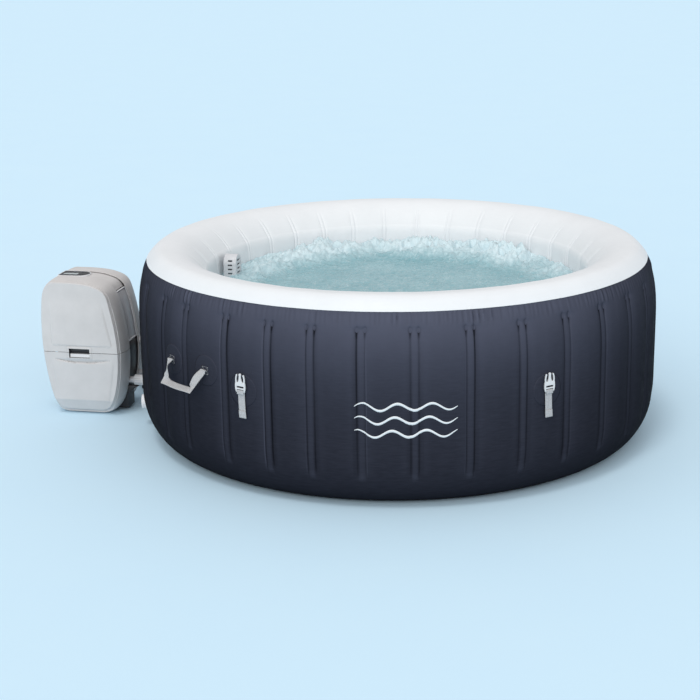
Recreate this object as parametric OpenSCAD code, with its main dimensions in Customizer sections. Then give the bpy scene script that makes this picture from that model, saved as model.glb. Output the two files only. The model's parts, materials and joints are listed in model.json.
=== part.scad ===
// Inflatable round hot tub with its outside pump, heater and blower unit.
// Origin: centre of the tub on the ground. +Z is up. Azimuth 0 looks from -Y and grows towards +X.

/* [Tub] */
// Largest radius of the inflated outer wall
tub_r = 900; // [860:5:940]
// Height of the top roll above the ground
tub_h = 660; // [640:5:700]
// Thickness of the laminated sheet
skin = 1.2; // [0.8:0.1:1.6]
// How far the inner wall stands inside the outer wall at the crease under the top roll
wall_depth = 235; // [215:5:255]
// Vertical beams between the two walls
beam_count = 34; // [30:1:36]
// Azimuth of the first beam
beam_start = 4; // [3:0.5:5]
// Air jets in the bubble ring
jet_count = 60; // [24:1:90]

/* [Straps and handles] */
// Places of the six cover straps, in bays counted from the first beam
strap_bays = [-3.89, 2, 8, 13, 19, 24];
// Width of the strap webbing
web_w = 25; // [20:1:26]
// Height of the strap patches
strap_z = 350; // [330:5:360]
// Azimuths of the two carry handles
handle_azimuths = [-47.25, 132.75];
// Distance between a handle's two ends
handle_span = 178; // [160:2:200]
// Height of the handle ends
handle_z = 388; // [376:2:396]

/* [Pump unit] */
// Azimuth of the pump unit
pump_azimuth = -100.5; // [-102:0.1:-99]
// Distance from the tub's centre to the pump unit's centre
pump_away = 1138; // [1132:1:1145]
// Length of the pump unit, measured towards the tub
pump_l = 313; // [308:1:317]
// Height of the pump unit's side covers
pump_h = 498; // [495:1:502]
// Thickness of the pump unit, from one side cover to the other
pump_t = 260; // [257:1:266]
// Height of the seam between the upper cover and the service door
door_z = 235; // [225:1:240]
// Wall thickness of the moulded covers
shell = 3; // [2.5:0.1:3.5]

/* [Hidden] */
$fn = 96;

navy = [0.16, 0.17, 0.22];
white = [0.93, 0.94, 0.95];
light_grey = [0.78, 0.79, 0.80];
mid_grey = [0.42, 0.43, 0.45];
black = [0.08, 0.08, 0.09];
metal = [0.7, 0.71, 0.73];

// Profile of the tub
foot_r = tub_r - 117;
foot_z = 187.5;
belly_z = 381;
seam_r = tub_r - 38;
seam_z = tub_h - 41;
crest_r = tub_r - 94;
crease_r = tub_r - wall_depth;
crease_drop = 77;
crease_z = tub_h - crease_drop;
inner_belly = 15;
inner_foot = 25;
arc_steps = 10;
gap = 0.1;
// Beams that stand off their even places, as a beam number and its offset in degrees
beam_shifts = [[0, -0.75], [1, -0.45], [28, 1.6], [30, 1.6], [31, 1.5], [33, -0.55]];
beam_t = 1;
beam_low = 110;
beam_drop = 8;

// Patches, straps and handles
strap_azimuths = [for (bay = strap_bays) beam_start + 360 / beam_count * (bay + 0.5)];
patch_d = 104;
handle_patch_d = 100;
handle_patch_turn = 2 * asin(handle_span / 2 / tub_r);
patch_r = tub_r + skin + gap;
strap_t = 1.6;
strap_y = -(patch_r + 2 * strap_t + 2.6);
strap_top = strap_z;
strap_bottom = strap_z - 86;
bar_r = 1.7;
loop_r = 2.1;

// Valves in the outer wall
drain_azimuth = -88;
drain_z = 86;
drain_r = 18;
drain_y = -891.2;
air_azimuth = -126;
air_z = 450;
air_r = 20;

// Pump unit, in its own frame: X from cover to cover, +Y towards the tub
cover_in = 46;
cover_out = pump_t / 2;
cover_gap = 1;
band_inset = 5;
// Lower end of the side band on the tub side
band_low = 257;
top_z = 0.893 * pump_h;
chassis_top = 60;
// Places of the inlet, outlet and air ports, as X and Z in the pump unit's frame
ports = [[-66, 113], [31, 113], [-66, 238]];
pipe_r = 12;
boss_r = 20;
flange_r = 27;
nut_r = 19.5;
nut_l = 62;
port_out = pump_away - 905;
inner_out = pump_away - 642;
panel_z = pump_h - 7;
latch_w = 76;
latch_h = 34;
latch_y = -4;
// Places of the rubber feet along Y
feet_y = [-99, 118];
// Reach of the tub-side leg to the rear and to the front, and its height
leg_x = [22, 44];
leg_top = 95;
peg_y = 120;
peg_z = 165;
peg_low = [60, 28];
peg_r = 4;
plate_back = -41;
plate_front = -35;
// Places of the rear cover's screws, as Y and Z in the pump unit's frame
screw_places = [[-100, 170], [70, 170], [-92, 425], [70, 425]];
screw_r = 2;
screw_head_r = 5;
post_r = 6;
screw_l = 22;
button_places = [[27, -90], [27, -64], [27, -38], [-27, -90], [-27, -64], [-27, -38]];
button_r = 6;
display_w = 30;
display_l = 54;
display_y = -96;
pump_axis = [-50, 115];
fan_axis = [10, 372];

// ---------- helpers ----------

module around(azimuth) {
    rotate([0, 0, azimuth]) children();
}

module at_pump() {
    around(pump_azimuth) translate([0, -pump_away, 0]) children();
}

// A rod along Y from y0 to y1
module rod_y(r, y0, y1) {
    translate([0, y0, 0]) rotate([-90, 0, 0]) cylinder(r = r, h = y1 - y0);
}

// A rod along X from x0 to x1
module rod_x(r, x0, x1) {
    translate([x0, 0, 0]) rotate([0, 90, 0]) cylinder(r = r, h = x1 - x0);
}

// A box from one corner to the other
module block(low, high) {
    translate(low) cube(high - low);
}

function reversed(list) = [for (i = [len(list) - 1:-1:0]) list[i]];

// ---------- tub skins ----------

function lower_arc(o) = [for (i = [0:arc_steps]) let (a = -90 + 90 * i / arc_steps)
    [foot_r + (tub_r - foot_r - o) * cos(a), foot_z + (foot_z - o) * sin(a)]];

function upper_arc(o) = [for (i = [0:arc_steps]) let (k = i / arc_steps)
    [tub_r - (tub_r - seam_r) * pow(k, 3.17) - o, belly_z + (seam_z - belly_z) * k]];

function wall_line(o) = concat(lower_arc(o), upper_arc(o));

function top_height(r) = r > crest_r
    ? tub_h - (tub_h - seam_z) * pow((r - crest_r) / (seam_r - crest_r), 2)
    : tub_h - crease_drop * pow((crest_r - r) / (crest_r - crease_r), 2.45);

function top_line(o) = [for (i = [0:2 * arc_steps])
    let (k = i / arc_steps - 1,
        r = k < 0 ? crest_r - k * (seam_r - crest_r) : crest_r - k * (crest_r - crease_r),
        side = pow(abs(k), 4))
    [r + sign(k) * o * side, top_height(r) - o * (1 - side)]];

function inner_at(z) = let (s = (crease_z - z) / crease_z)
    crease_r - inner_belly * sin(180 * pow(s, 0.8)) + inner_foot * pow(s, 8);

function inner_line(o) = [for (i = [0:2 * arc_steps]) let (k = i / arc_steps / 2)
    [inner_at(crease_z - (crease_z - skin) * k) + o, crease_z - (crease_z - skin) * k]];

module ring_of(line, under) {
    rotate_extrude($fn = 180) polygon(concat(line, reversed(under)));
}

// Puts its children at each port, in the pump unit's frame
module each_port() {
    for (p = ports) translate([p[0], 0, p[1]]) children();
}

// Puts its children at each screw of the rear cover, in the pump unit's frame
module each_screw() {
    for (p = screw_places) translate([0, p[0], p[1]]) children();
}

module outer_wall() {
    color(navy) difference() {
        ring_of(wall_line(0), wall_line(skin));
        at_pump() each_port() rod_y(boss_r + gap, port_out, port_out + 60);
        around(drain_azimuth) translate([0, 0, drain_z]) rod_y(drain_r + gap, drain_y - 30, drain_y + 40);
        around(air_azimuth) translate([0, 0, air_z]) rod_y(air_r + gap, -920, -860);
    }
}

module top_panel() {
    color(white) ring_of(top_line(0), top_line(skin));
}

module inner_wall() {
    color(white) difference() {
        ring_of(inner_line(0), inner_line(skin));
        at_pump() each_port() rod_y(pipe_r + 2 + gap, inner_out - 70, inner_out + 40);
    }
}

module floor_sheet() {
    color(white) cylinder(r = foot_r, h = skin);
}

function beam_shift(i) = let (found = search(i, beam_shifts)) len(found) == 0 ? 0 : beam_shifts[found[0]][1];

module wall_beams() {
    color(navy) for (i = [0:beam_count - 1]) around(beam_start + 360 / beam_count * i + beam_shift(i))
        rotate([90, 0, -90]) translate([0, 0, -beam_t / 2]) linear_extrude(beam_t) intersection() {
            polygon(concat(wall_line(skin + 2 * gap), inner_line(skin + 2 * gap)));
            translate([crease_r - 60, beam_low]) square([300, crease_z - beam_drop - beam_low]);
        }
}

module air_channel() {
    tube_r = 18;
    ring_z = 45;
    ring_r = inner_at(ring_z) - tube_r - 1;
    color(white) difference() {
        rotate_extrude($fn = 180) translate([ring_r, ring_z]) rotate(15) difference() {
            circle(r = tube_r, $fn = 12);
            circle(r = tube_r - 1.5 * skin, $fn = 12);
        }
        for (i = [0:jet_count - 1]) around(360 / jet_count * i)
            translate([0, 0, ring_z]) rod_y(1.5, -ring_r, -ring_r + tube_r + 5, $fn = 16);
    }
}

// ---------- patches, straps, buckles and handles ----------

module patch(azimuth, z, d) {
    intersection() {
        difference() {
            translate([0, 0, z - d]) cylinder(r = patch_r, h = 2 * d);
            translate([0, 0, z - d - 1]) cylinder(r = tub_r + gap, h = 2 * d + 2);
        }
        around(azimuth) translate([0, 0, z]) rod_y(d / 2, -patch_r - 10, -patch_r + 20);
    }
}

module wall_patches() {
    color(navy) {
        for (a = strap_azimuths) patch(a, strap_z, patch_d);
        for (a = handle_azimuths, side = [-0.5, 0.5])
            patch(a + side * handle_patch_turn, handle_z, handle_patch_d);
    }
}

module strap_web() {
    translate([0, strap_y, strap_top]) {
        difference() {
            rod_x(loop_r + strap_t, -web_w / 2, web_w / 2);
            rod_x(loop_r, -web_w, web_w);
        }
        block([-web_w / 2, loop_r, strap_bottom - strap_top], [web_w / 2, loop_r + strap_t, 0]);
        block([-web_w / 2, loop_r + strap_t, strap_bottom - strap_top],
            [web_w / 2, loop_r + 2 * strap_t, strap_bottom - strap_top + 24]);
    }
}

module strap_webs() {
    color(light_grey) for (a = strap_azimuths) around(a) strap_web();
}

// Male half of a side-release buckle, pointing up, on its webbing bar
module buckle(number) {
    half = web_w / 2 + 1.2;
    rail = 5;
    thick = 3.4;
    color(light_grey) around(strap_azimuths[number - 1]) translate([0, strap_y, strap_top]) {
        rod_x(bar_r, -half - 1, half + 1);
        for (side = [-1, 1]) {
            block([side > 0 ? half : -half - rail, -thick, -3], [side > 0 ? half + rail : -half, bar_r, 26]);
            translate([side * (half - 1), -thick, 22]) rotate([0, side * -7, 0]) cube([4, 4.6, 31]);
        }
        block([-half - 1, -thick, 6], [half + 1, 1.2, 10]);
        block([-half - 1, -thick, 16], [half + 1, 1.2, 27]);
        block([-3.5, -thick, 26], [3.5, 1.2, 50]);
    }
}

// Webbing loop with a flat grip, hanging from its two sewn ends
module handle(azimuth) {
    end_x = handle_span / 2;
    end_y = -(sqrt(pow(patch_r, 2) - pow(end_x - 12, 2)) + 5);
    grip_x = 0.72 * end_x;
    grip_y = -36;
    grip_z = -56;
    color(light_grey) around(azimuth) translate([0, end_y, handle_z]) {
        for (side = [-1, 1]) {
            translate([side * end_x - 12, 0, 0]) rod_x(3, 0, 24);
            hull() {
                translate([side * end_x - 12, -2, -2]) cube([24, 4, 4]);
                translate([side * grip_x - 12, grip_y - 2, grip_z - 2]) cube([24, 4, 4]);
            }
        }
        block([-grip_x - 6, grip_y - 3, grip_z - 13], [grip_x + 6, grip_y + 3, grip_z + 13]);
    }
}

// ---------- ports, filter and valves in the tub wall ----------

// Bulkhead fitting through both walls, from the outer flange to the inner flange
module port() {
    difference() {
        union() {
            rod_y(boss_r, port_out, port_out + 35);
            rod_y(flange_r, port_out - 4, port_out);
            rod_y(pipe_r + 2, port_out - 26, inner_out);
            rod_y(flange_r, inner_out, inner_out + 4);
        }
        rod_y(pipe_r, port_out - 30, inner_out + 10);
    }
}

module wall_ports() {
    color(light_grey) at_pump() each_port() port();
}

module port_gaskets() {
    color(black) at_pump() each_port() difference() {
        rod_y(pipe_r + 1.5, port_out - 29, port_out - 26);
        rod_y(pipe_r - 2, port_out - 40, port_out);
    }
}

filter_x = -56;
filter_w = 70;
filter_depth = 46;
filter_low = 70;
filter_top = 576;
filter_face = inner_out + 5;
filter_slot = 6;
cartridge_r = 19;
cartridge_l = 240;

module filter_outline(w, top, low) {
    translate([-w / 2, low]) square([w, top - w / 2 - low]);
    translate([0, top - w / 2]) circle(d = w);
}

// Upright plates: 2D X stays X, 2D Y becomes Z, thickness along +Y
module upright(y0, y1) {
    translate([0, y1, 0]) rotate([90, 0, 0]) linear_extrude(y1 - y0) children();
}

module filter_base() {
    color(light_grey) at_pump() difference() {
        translate([filter_x, 0, 0]) upright(filter_face, filter_face + 3)
            filter_outline(filter_w - 12, filter_top - 6, filter_low);
        translate([ports[0][0], 0, ports[0][1]]) rod_y(pipe_r, filter_face - 10, filter_face + 10);
    }
}

module filter_cover() {
    slot_z = [for (i = [0:29]) 118 + 15 * i];
    color(light_grey) at_pump() translate([filter_x, 0, 0]) difference() {
        upright(filter_face, filter_face + filter_depth)
            filter_outline(filter_w, filter_top, filter_low);
        upright(filter_face - 1, filter_face + filter_depth - shell)
            filter_outline(filter_w - 2 * shell, filter_top - shell, filter_low - 20);
        for (z = slot_z) {
            block([-filter_w, filter_face + 16, z],
                [filter_w, filter_face + filter_depth - 14, z + filter_slot]);
            block([-16, filter_face + filter_depth - 10, z],
                [16, filter_face + filter_depth + 5, z + filter_slot]);
        }
    }
}

module filter_cartridge() {
    pleats = 24;
    cap_h = 8;
    color(white) at_pump() translate([filter_x, filter_face + filter_depth / 2, 180]) difference() {
        union() {
            linear_extrude(cartridge_l) polygon([for (i = [0:2 * pleats - 1])
                (cartridge_r - (i % 2 == 0 ? 1.5 : 5.5)) * [cos(180 * i / pleats), sin(180 * i / pleats)]]);
            for (z = [0, cartridge_l - cap_h]) translate([0, 0, z]) cylinder(r = cartridge_r, h = cap_h);
        }
        translate([0, 0, -1]) cylinder(r = cartridge_r / 2, h = cartridge_l + 2);
    }
}

module outlet_frame() {
    color(light_grey) at_pump() translate([ports[1][0], 0, ports[1][1]]) difference() {
        rod_y(40, filter_face, filter_face + 6);
        rod_y(pipe_r, filter_face - 5, filter_face + 10);
    }
}

module outlet_grille() {
    color(light_grey) at_pump() translate([ports[1][0], 0, ports[1][1]]) difference() {
        rod_y(37, filter_face + 6.2, filter_face + 24);
        rod_y(34, filter_face, filter_face + 21);
        for (i = [-2:2]) block([-26, filter_face + 18, 10 * i - 2.5], [26, filter_face + 30, 10 * i + 2.5]);
    }
}

module drain_valve() {
    color(white) around(drain_azimuth) translate([0, 0, drain_z]) difference() {
        union() {
            rod_y(drain_r, drain_y - 10, drain_y + 32);
            rod_y(28, drain_y - 3, drain_y);
        }
        rod_y(drain_r - 5, drain_y - 12, drain_y + 40);
    }
}

// Screw cap with grip ribs, turned about its own axis
module ribbed_cap(r, h, ribs) {
    difference() {
        rod_y(r, -h, 0);
        rod_y(r - 3, -h + 3, 1);
        for (i = [0:ribs - 1]) rotate([0, 360 / ribs * i, 0]) translate([r, 0, 0])
            rod_y(1.4, -h - 1, 1, $fn = 16);
    }
}

module drain_cap() {
    color(white) around(drain_azimuth) translate([0, drain_y - 3.2, drain_z])
        ribbed_cap(25, 16, 16);
}

module air_valve() {
    color(white) around(air_azimuth) translate([0, 0, air_z]) difference() {
        union() {
            rod_y(air_r, -908, -870);
            rod_y(32, -903, -900.5);
        }
        rod_y(15, -910, -860);
    }
}

module air_cap() {
    color(white) around(air_azimuth) translate([0, -904, air_z]) ribbed_cap(26, 12, 20);
}

// ---------- pump unit covers ----------

// Egg-shaped side outline as shares of the length and the height
outline_shares = [[-0.22, 0], [0.22, 0], [0.38, 0.062], [0.468, 0.228], [0.5, 0.465], [0.456, 0.723],
    [0.362, 0.912], [0.172, 0.98], [-0.125, 1], [-0.34, 0.992], [-0.468, 0.872], [-0.5, 0.595],
    [-0.468, 0.327], [-0.37, 0.066]];
curve_steps = 4;

function item(list, i) = list[(i + len(list)) % len(list)];

function spline(a, b, c, d, t) = 0.5 * (2 * b + t * (c - a) + t * t * (2 * a - 5 * b + 4 * c - d)
    + t * t * t * (3 * b - 3 * c + d - a));

function outline(inset) = [for (i = [0:len(outline_shares) - 1], k = [0:curve_steps - 1])
    let (p = spline(item(outline_shares, i - 1), item(outline_shares, i),
            item(outline_shares, i + 1), item(outline_shares, i + 2), k / curve_steps),
        share_z = min(max(p[1], 0), 1))
    [p[0] * (pump_l - 2 * inset), inset + share_z * (pump_h - 2 * inset)]];

// The outline as a slab from x0 to x1
module slab(inset, x0, x1) {
    rotate([90, 0, 90]) translate([0, 0, x0]) linear_extrude(x1 - x0) polygon(outline(inset));
}

// Crowned solid of one side cover; inset makes the hollow inside it
module cover_solid(inset, open) {
    slice = 0.5;
    hull() {
        slab(inset, cover_in - open, cover_in + 24);
        slab(inset + 3, cover_out - 30 - slice - inset / 2, cover_out - 30 - inset / 2);
        slab(inset + 9, cover_out - 11 - slice - inset, cover_out - 11 - inset);
        slab(inset + 22, cover_out - slice - inset, cover_out - inset);
    }
}

module cover_shell() {
    difference() {
        cover_solid(0, 0);
        cover_solid(shell, 5);
    }
}

module above(z) {
    intersection() {
        children();
        block([-300, -300, z], [300, 300, 700]);
    }
}

module below(z) {
    intersection() {
        children();
        block([-300, -300, -10], [300, 300, z]);
    }
}

module latch_pocket() {
    block([cover_out - 12, latch_y - latch_w / 2 - 1, door_z - latch_h + 10],
        [cover_out + 5, latch_y + latch_w / 2 + 1, door_z + 9]);
    block([cover_out - 22, latch_y - 7, door_z - 20], [cover_out, latch_y + 7, door_z - 7]);
}

// Front shell with the latch's tray in it, before it is split at the door seam
module front_shell() {
    difference() {
        union() {
            cover_shell();
            block([cover_out - 16, latch_y - latch_w / 2 - 5, door_z - latch_h + 6],
                [cover_out - 1.5, latch_y + latch_w / 2 + 5, door_z + 16]);
        }
        latch_pocket();
    }
}

module pump_front_cover() {
    color(light_grey) at_pump() above(door_z + cover_gap) front_shell();
}

// Guide peg of the door, with the rib that carries it
module door_peg(y, z, rib_low, rib_high) {
    translate([0, y, z]) rod_x(peg_r, cover_in - 12, cover_in + 30);
    intersection() {
        cover_solid(shell / 2, 0);
        block(rib_low, rib_high);
    }
}

module pump_door() {
    rib = [cover_in + 8, cover_in + 22];
    color(light_grey) at_pump() {
        below(door_z - cover_gap) front_shell();
        door_peg(-peg_y, peg_z, [rib[0], -200, peg_z - 2], [rib[1], -peg_y, peg_z + 2]);
        door_peg(peg_y, peg_z, [rib[0], peg_y, peg_z - 2], [rib[1], 200, peg_z + 2]);
        for (y = [-peg_low[0], peg_low[0]])
            door_peg(y, peg_low[1], [rib[0], y - 2, 0], [rib[1], y + 2, peg_low[1]]);
    }
}

module door_latch() {
    color(white) at_pump() {
        block([cover_out - 11.5, latch_y - latch_w / 2 + 1, door_z - latch_h + 15],
            [cover_out - 2, latch_y + latch_w / 2 - 1, door_z - 6]);
        block([cover_out - 21, latch_y - 5.5, door_z - 14], [cover_out - 11, latch_y + 5.5, door_z - 10]);
    }
}

module pump_rear_cover() {
    color(light_grey) at_pump() difference() {
        mirror([1, 0, 0]) cover_shell();
        each_port() rod_y(pipe_r + 1, 100, 200);
        block([-cover_out - 5, -6, -1], [-cover_in - 20, 6, 11]);
        each_screw() rod_x(screw_r + 0.5, -cover_out - 5, -cover_out + 5);
    }
}

// Hollow ring between the two side covers
module band_ring(inset) {
    difference() {
        slab(inset, -cover_in + cover_gap, cover_in - cover_gap);
        slab(inset + shell, -cover_in, cover_in);
    }
}

// Top cover with the tray that holds the control panel
module pump_top_cover() {
    rim = 2.5;
    color(light_grey) at_pump() difference() {
        union() {
            above(top_z + cover_gap) band_ring(1);
            translate([0, 0, panel_z - shell]) linear_extrude(shell + 3) panel_outline(-rim);
        }
        translate([0, 0, panel_z - gap]) linear_extrude(30) panel_outline(-0.4);
    }
}

module pump_side_band() {
    vents = 7;
    color(mid_grey) at_pump() difference() {
        above(chassis_top + cover_gap) below(top_z - cover_gap) band_ring(band_inset);
        block([-cover_in - 1, 40, 0], [cover_in + 1, pump_l, band_low]);
        for (i = [0:vents - 1]) block([-26, -200, 150 + 22 * i], [26, -100, 158 + 22 * i]);
    }
}

module pump_chassis() {
    color(black) at_pump() difference() {
        union() {
            above(10) below(chassis_top - cover_gap) band_ring(band_inset);
            below(band_low - cover_gap) intersection() {
                above(10) band_ring(band_inset);
                block([-cover_in - 1, 41, 0], [cover_in + 1, pump_l, pump_h]);
            }
            block([plate_back, -104, 16], [-plate_back, 104, 22]);
            block([plate_back, -110, 20], [plate_front, 80, 440]);
            each_screw() rod_x(post_r, -cover_out + shell + 0.5, plate_back + 1);
            block([plate_back, -peg_y - 9, peg_z - 9], [plate_front, peg_y + 9, peg_z + 9]);
            for (y = [-peg_y, peg_y]) block([plate_back, y - 9, peg_z - 9], [cover_in - 3, y + 9, peg_z + 9]);
            block([-20, feet_y[0] - 15, 8], [20, feet_y[0] + 15, 40]);
            block([-leg_x[0], feet_y[1] - 30, 8], [leg_x[1], feet_y[1] + 20, leg_top]);
            translate([ports[1][0], 0, 0]) rotate([90, 0, 90]) translate([0, 0, -10]) linear_extrude(20)
                polygon([[feet_y[1] + 19, 60], [feet_y[1] + 19, 92], [180, 92], [166, 84]]);
        }
        for (y = [-peg_y, peg_y]) translate([0, y, peg_z]) rod_x(peg_r + 0.1, cover_in - 14, 60);
        for (y = [-1, 1]) translate([0, y * peg_low[0], peg_low[1]]) rod_x(peg_r + 0.1, cover_in - 14, 60);
        translate([0, pump_axis[0], pump_axis[1]]) rod_x(6, -60, 0);
        each_screw() rod_x(screw_r + 0.05, -cover_out, -cover_out + screw_l + 1);
        each_port() rod_y(pipe_r + 1, 100, 200);
    }
}

module pump_feet() {
    color(black) at_pump() for (x = [-14, 14], y = feet_y) translate([x, y, 0])
        cylinder(r = 10, h = 7.8);
}

// ---------- control panel ----------

panel_r = 38;
panel_straight = 68;
panel_y = -105;

// D shape: a straight outer end and a round end towards the tub
module panel_outline(inset) {
    round_y = panel_y + panel_straight;
    translate([-panel_r + inset, panel_y + inset]) square([2 * panel_r - 2 * inset, panel_straight - inset]);
    intersection() {
        translate([0, round_y]) circle(r = panel_r - inset);
        translate([-panel_r, round_y - 1]) square([2 * panel_r, panel_r + 10]);
    }
}

module control_panel() {
    color(black) at_pump() translate([0, 0, panel_z]) difference() {
        linear_extrude(6) panel_outline(0);
        translate([0, 0, -1]) linear_extrude(4.5) panel_outline(2);
        translate([-display_w / 2, display_y, 0]) cube([display_w, display_l, 10]);
        for (p = button_places) translate([p[0], p[1], 0]) cylinder(r = button_r + 0.3, h = 10, $fn = 48);
    }
}

module display_window() {
    color([0.6, 0.7, 0.72]) at_pump() translate([-display_w / 2 + 0.2, display_y + 0.2, panel_z + 3.6])
        cube([display_w - 0.4, display_l - 0.4, 2]);
}

module button(number) {
    place = button_places[number];
    color(light_grey) at_pump() translate([place[0], place[1], panel_z + 2]) {
        cylinder(r = button_r, h = 4.8, $fn = 48);
        cylinder(r = button_r + 1, h = 0.8, $fn = 48);
    }
}

// ---------- couplings ----------

module coupling_spigots() {
    color(mid_grey) at_pump() each_port() difference() {
        union() {
            rod_y(pipe_r, 120, port_out - 29.2);
            rod_y(pipe_r + 4, port_out - 36, port_out - 32);
        }
        rod_y(pipe_r - 3, 110, port_out);
    }
}

// Union nut, held on its spigot by the collar and screwed over the tub port
module coupling_nut(number) {
    ribs = 10;
    place = ports[number];
    color(light_grey) at_pump() translate([place[0], 0, place[1]]) difference() {
        rod_y(nut_r, port_out - nut_l - 6, port_out - 6);
        rod_y(pipe_r + 2.6, port_out - 31, port_out);
        rod_y(pipe_r + 4.2, port_out - 36.5, port_out - 31.5);
        rod_y(pipe_r + 0.08, port_out - 70, port_out - 30);
        for (i = [0:ribs - 1]) rotate([0, 360 / ribs * i, 0]) translate([nut_r + 1.5, 0, 0])
            rod_y(3, port_out - 70, port_out, $fn = 24);
    }
}

// ---------- pump unit internals ----------

module water_pump() {
    color(black) at_pump() translate([0, pump_axis[0], pump_axis[1]]) {
        difference() {
            union() {
                rod_x(52, plate_front + 0.2, 12);
                block([-22, 0, 26], [2, 80, 50]);
            }
            rod_x(45, -28, 8);
            rod_x(14, 0, 40);
            rod_x(3.1, -60, 0);
        }
        difference() {
            union() {
                rod_x(38, -92, -46);
                rod_x(44, -46, plate_back - 0.2);
            }
            rod_x(3.1, -60, 0);
        }
    }
}

module impeller() {
    blades = 6;
    color(mid_grey) at_pump() translate([0, pump_axis[0], pump_axis[1]]) {
        rod_x(3, -58, -20);
        rod_x(42, -24, -20);
        rod_x(9, -20, -4);
        for (i = [0:blades - 1]) rotate([360 / blades * i, 0, 0])
            block([-21, 6, -1.5], [-6, 40, 1.5]);
    }
}

module heater_tube() {
    color(metal) at_pump() translate([86, 40, 92]) {
        cylinder(r = 24, h = 190);
        for (z = [-8, 190]) translate([0, 0, z]) cylinder(r = 18, h = 8);
        for (z = [30, 150]) translate([0, 0, z]) cylinder(r = 26, h = 10);
    }
}

module blower_body() {
    color(mid_grey) at_pump() translate([0, fan_axis[0], fan_axis[1]]) {
        difference() {
            rod_x(72, -4, 36);
            rod_x(68, -1, 33);
            rod_x(34, 20, 50);
            rod_x(3.1, -20, 10);
        }
        difference() {
            rod_x(40, -34, -4);
            rod_x(3.1, -20, 10);
        }
    }
}

module blower_fan() {
    blades = 16;
    color(black) at_pump() translate([0, fan_axis[0], fan_axis[1]]) {
        rod_x(3, -18, 4);
        rod_x(62, 2, 5);
        rod_x(14, 4, 14);
        for (i = [0:blades - 1]) rotate([360 / blades * i, 0, 0])
            translate([0, 50, 0]) rotate([35, 0, 0]) block([4, -9, -1], [28, 9, 1]);
    }
}

module control_board() {
    color([0.1, 0.35, 0.2]) at_pump() {
        block([-60, -80, 300], [-58, 60, 415]);
        block([-72, -70, 320], [-60, -20, 360]);
        block([-68, 0, 380], [-60, 40, 410]);
    }
}

module inner_hoses() {
    color(black) at_pump() each_port() difference() {
        rod_y(pipe_r + 3, 84, 131);
        rod_y(pipe_r - 3, 80, 119);
        rod_y(pipe_r + 0.05, 119, 140);
    }
}

// Pan-head screws that hold the rear cover on the chassis posts
module pump_screws() {
    color(metal) at_pump() each_screw() {
        rod_x(screw_head_r, -cover_out - 2.6, -cover_out - 0.1);
        rod_x(screw_r, -cover_out - 0.2, -cover_out + screw_l);
    }
}

module power_cord() {
    cord_r = 4.5;
    turns = 3;
    half = turns * cord_r;
    bevel = cord_r / 2;
    coil_r = 60;
    coil_x = -pump_t / 2 - 110;
    color(black) at_pump() {
        translate([coil_x, 0, 0]) rotate_extrude() translate([coil_r, cord_r])
            polygon([[-half, -bevel], [-half + bevel, -cord_r], [half - bevel, -cord_r], [half, -bevel],
                [half, bevel], [half - bevel, cord_r], [-half + bevel, cord_r], [-half, bevel]]);
        translate([coil_x, 0, cord_r]) rod_x(cord_r - 0.2, coil_r + 6, 140);
        translate([coil_x, 0, cord_r]) rod_y(cord_r - 0.2, coil_r + 6, 98);
    }
}

plug_place = [-pump_t / 2 - 110, 98, 0];

module safety_plug() {
    color(black) at_pump() translate(plug_place) difference() {
        union() {
            block([-24, 0, 0], [24, 74, 30]);
            for (x = [-7, 7]) block([x - 0.8, 74, 12], [x + 0.8, 92, 18]);
            translate([0, 0, 9]) rod_y(2.4, 74, 92);
        }
        for (y = [22, 48]) block([-8.2, y - 5.2, 26], [8.2, y + 5.2, 31]);
    }
}

module plug_button(y, tint) {
    color(tint) at_pump() translate(plug_place) block([-8, y - 5, 27.6], [8, y + 5, 31.5]);
}

// ---------- one line for each node ----------

outer_wall();
top_panel();
inner_wall();
floor_sheet();
wall_beams();
air_channel();
wall_patches();
strap_webs();
buckle(1);  // buckle_1
buckle(2);  // buckle_2
buckle(3);  // buckle_3
buckle(4);  // buckle_4
buckle(5);  // buckle_5
buckle(6);  // buckle_6
handle(handle_azimuths[0]);  // handle_front
handle(handle_azimuths[1]);  // handle_rear
wall_ports();
port_gaskets();
filter_base();
filter_cover();
filter_cartridge();
outlet_frame();
outlet_grille();
drain_valve();
drain_cap();
air_valve();
air_cap();
pump_front_cover();
pump_door();
door_latch();
pump_rear_cover();
pump_top_cover();
pump_side_band();
pump_chassis();
pump_feet();
control_panel();
display_window();
button(0);  // button_power
button(1);  // button_heat
button(2);  // button_filter
button(3);  // button_bubbles
button(4);  // button_up
button(5);  // button_down
coupling_spigots();
coupling_nut(0);  // nut_inlet
coupling_nut(1);  // nut_outlet
coupling_nut(2);  // nut_air
water_pump();
impeller();
heater_tube();
blower_body();
blower_fan();
control_board();
inner_hoses();
pump_screws();
power_cord();
safety_plug();
plug_button(22, [0.15, 0.4, 0.75]);  // plug_test_button
plug_button(48, [0.75, 0.15, 0.12]);  // plug_reset_button
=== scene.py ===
import json
import math
import random

import bmesh
import bpy
import numpy as np
from mathutils import Matrix, Vector, noise


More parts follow.
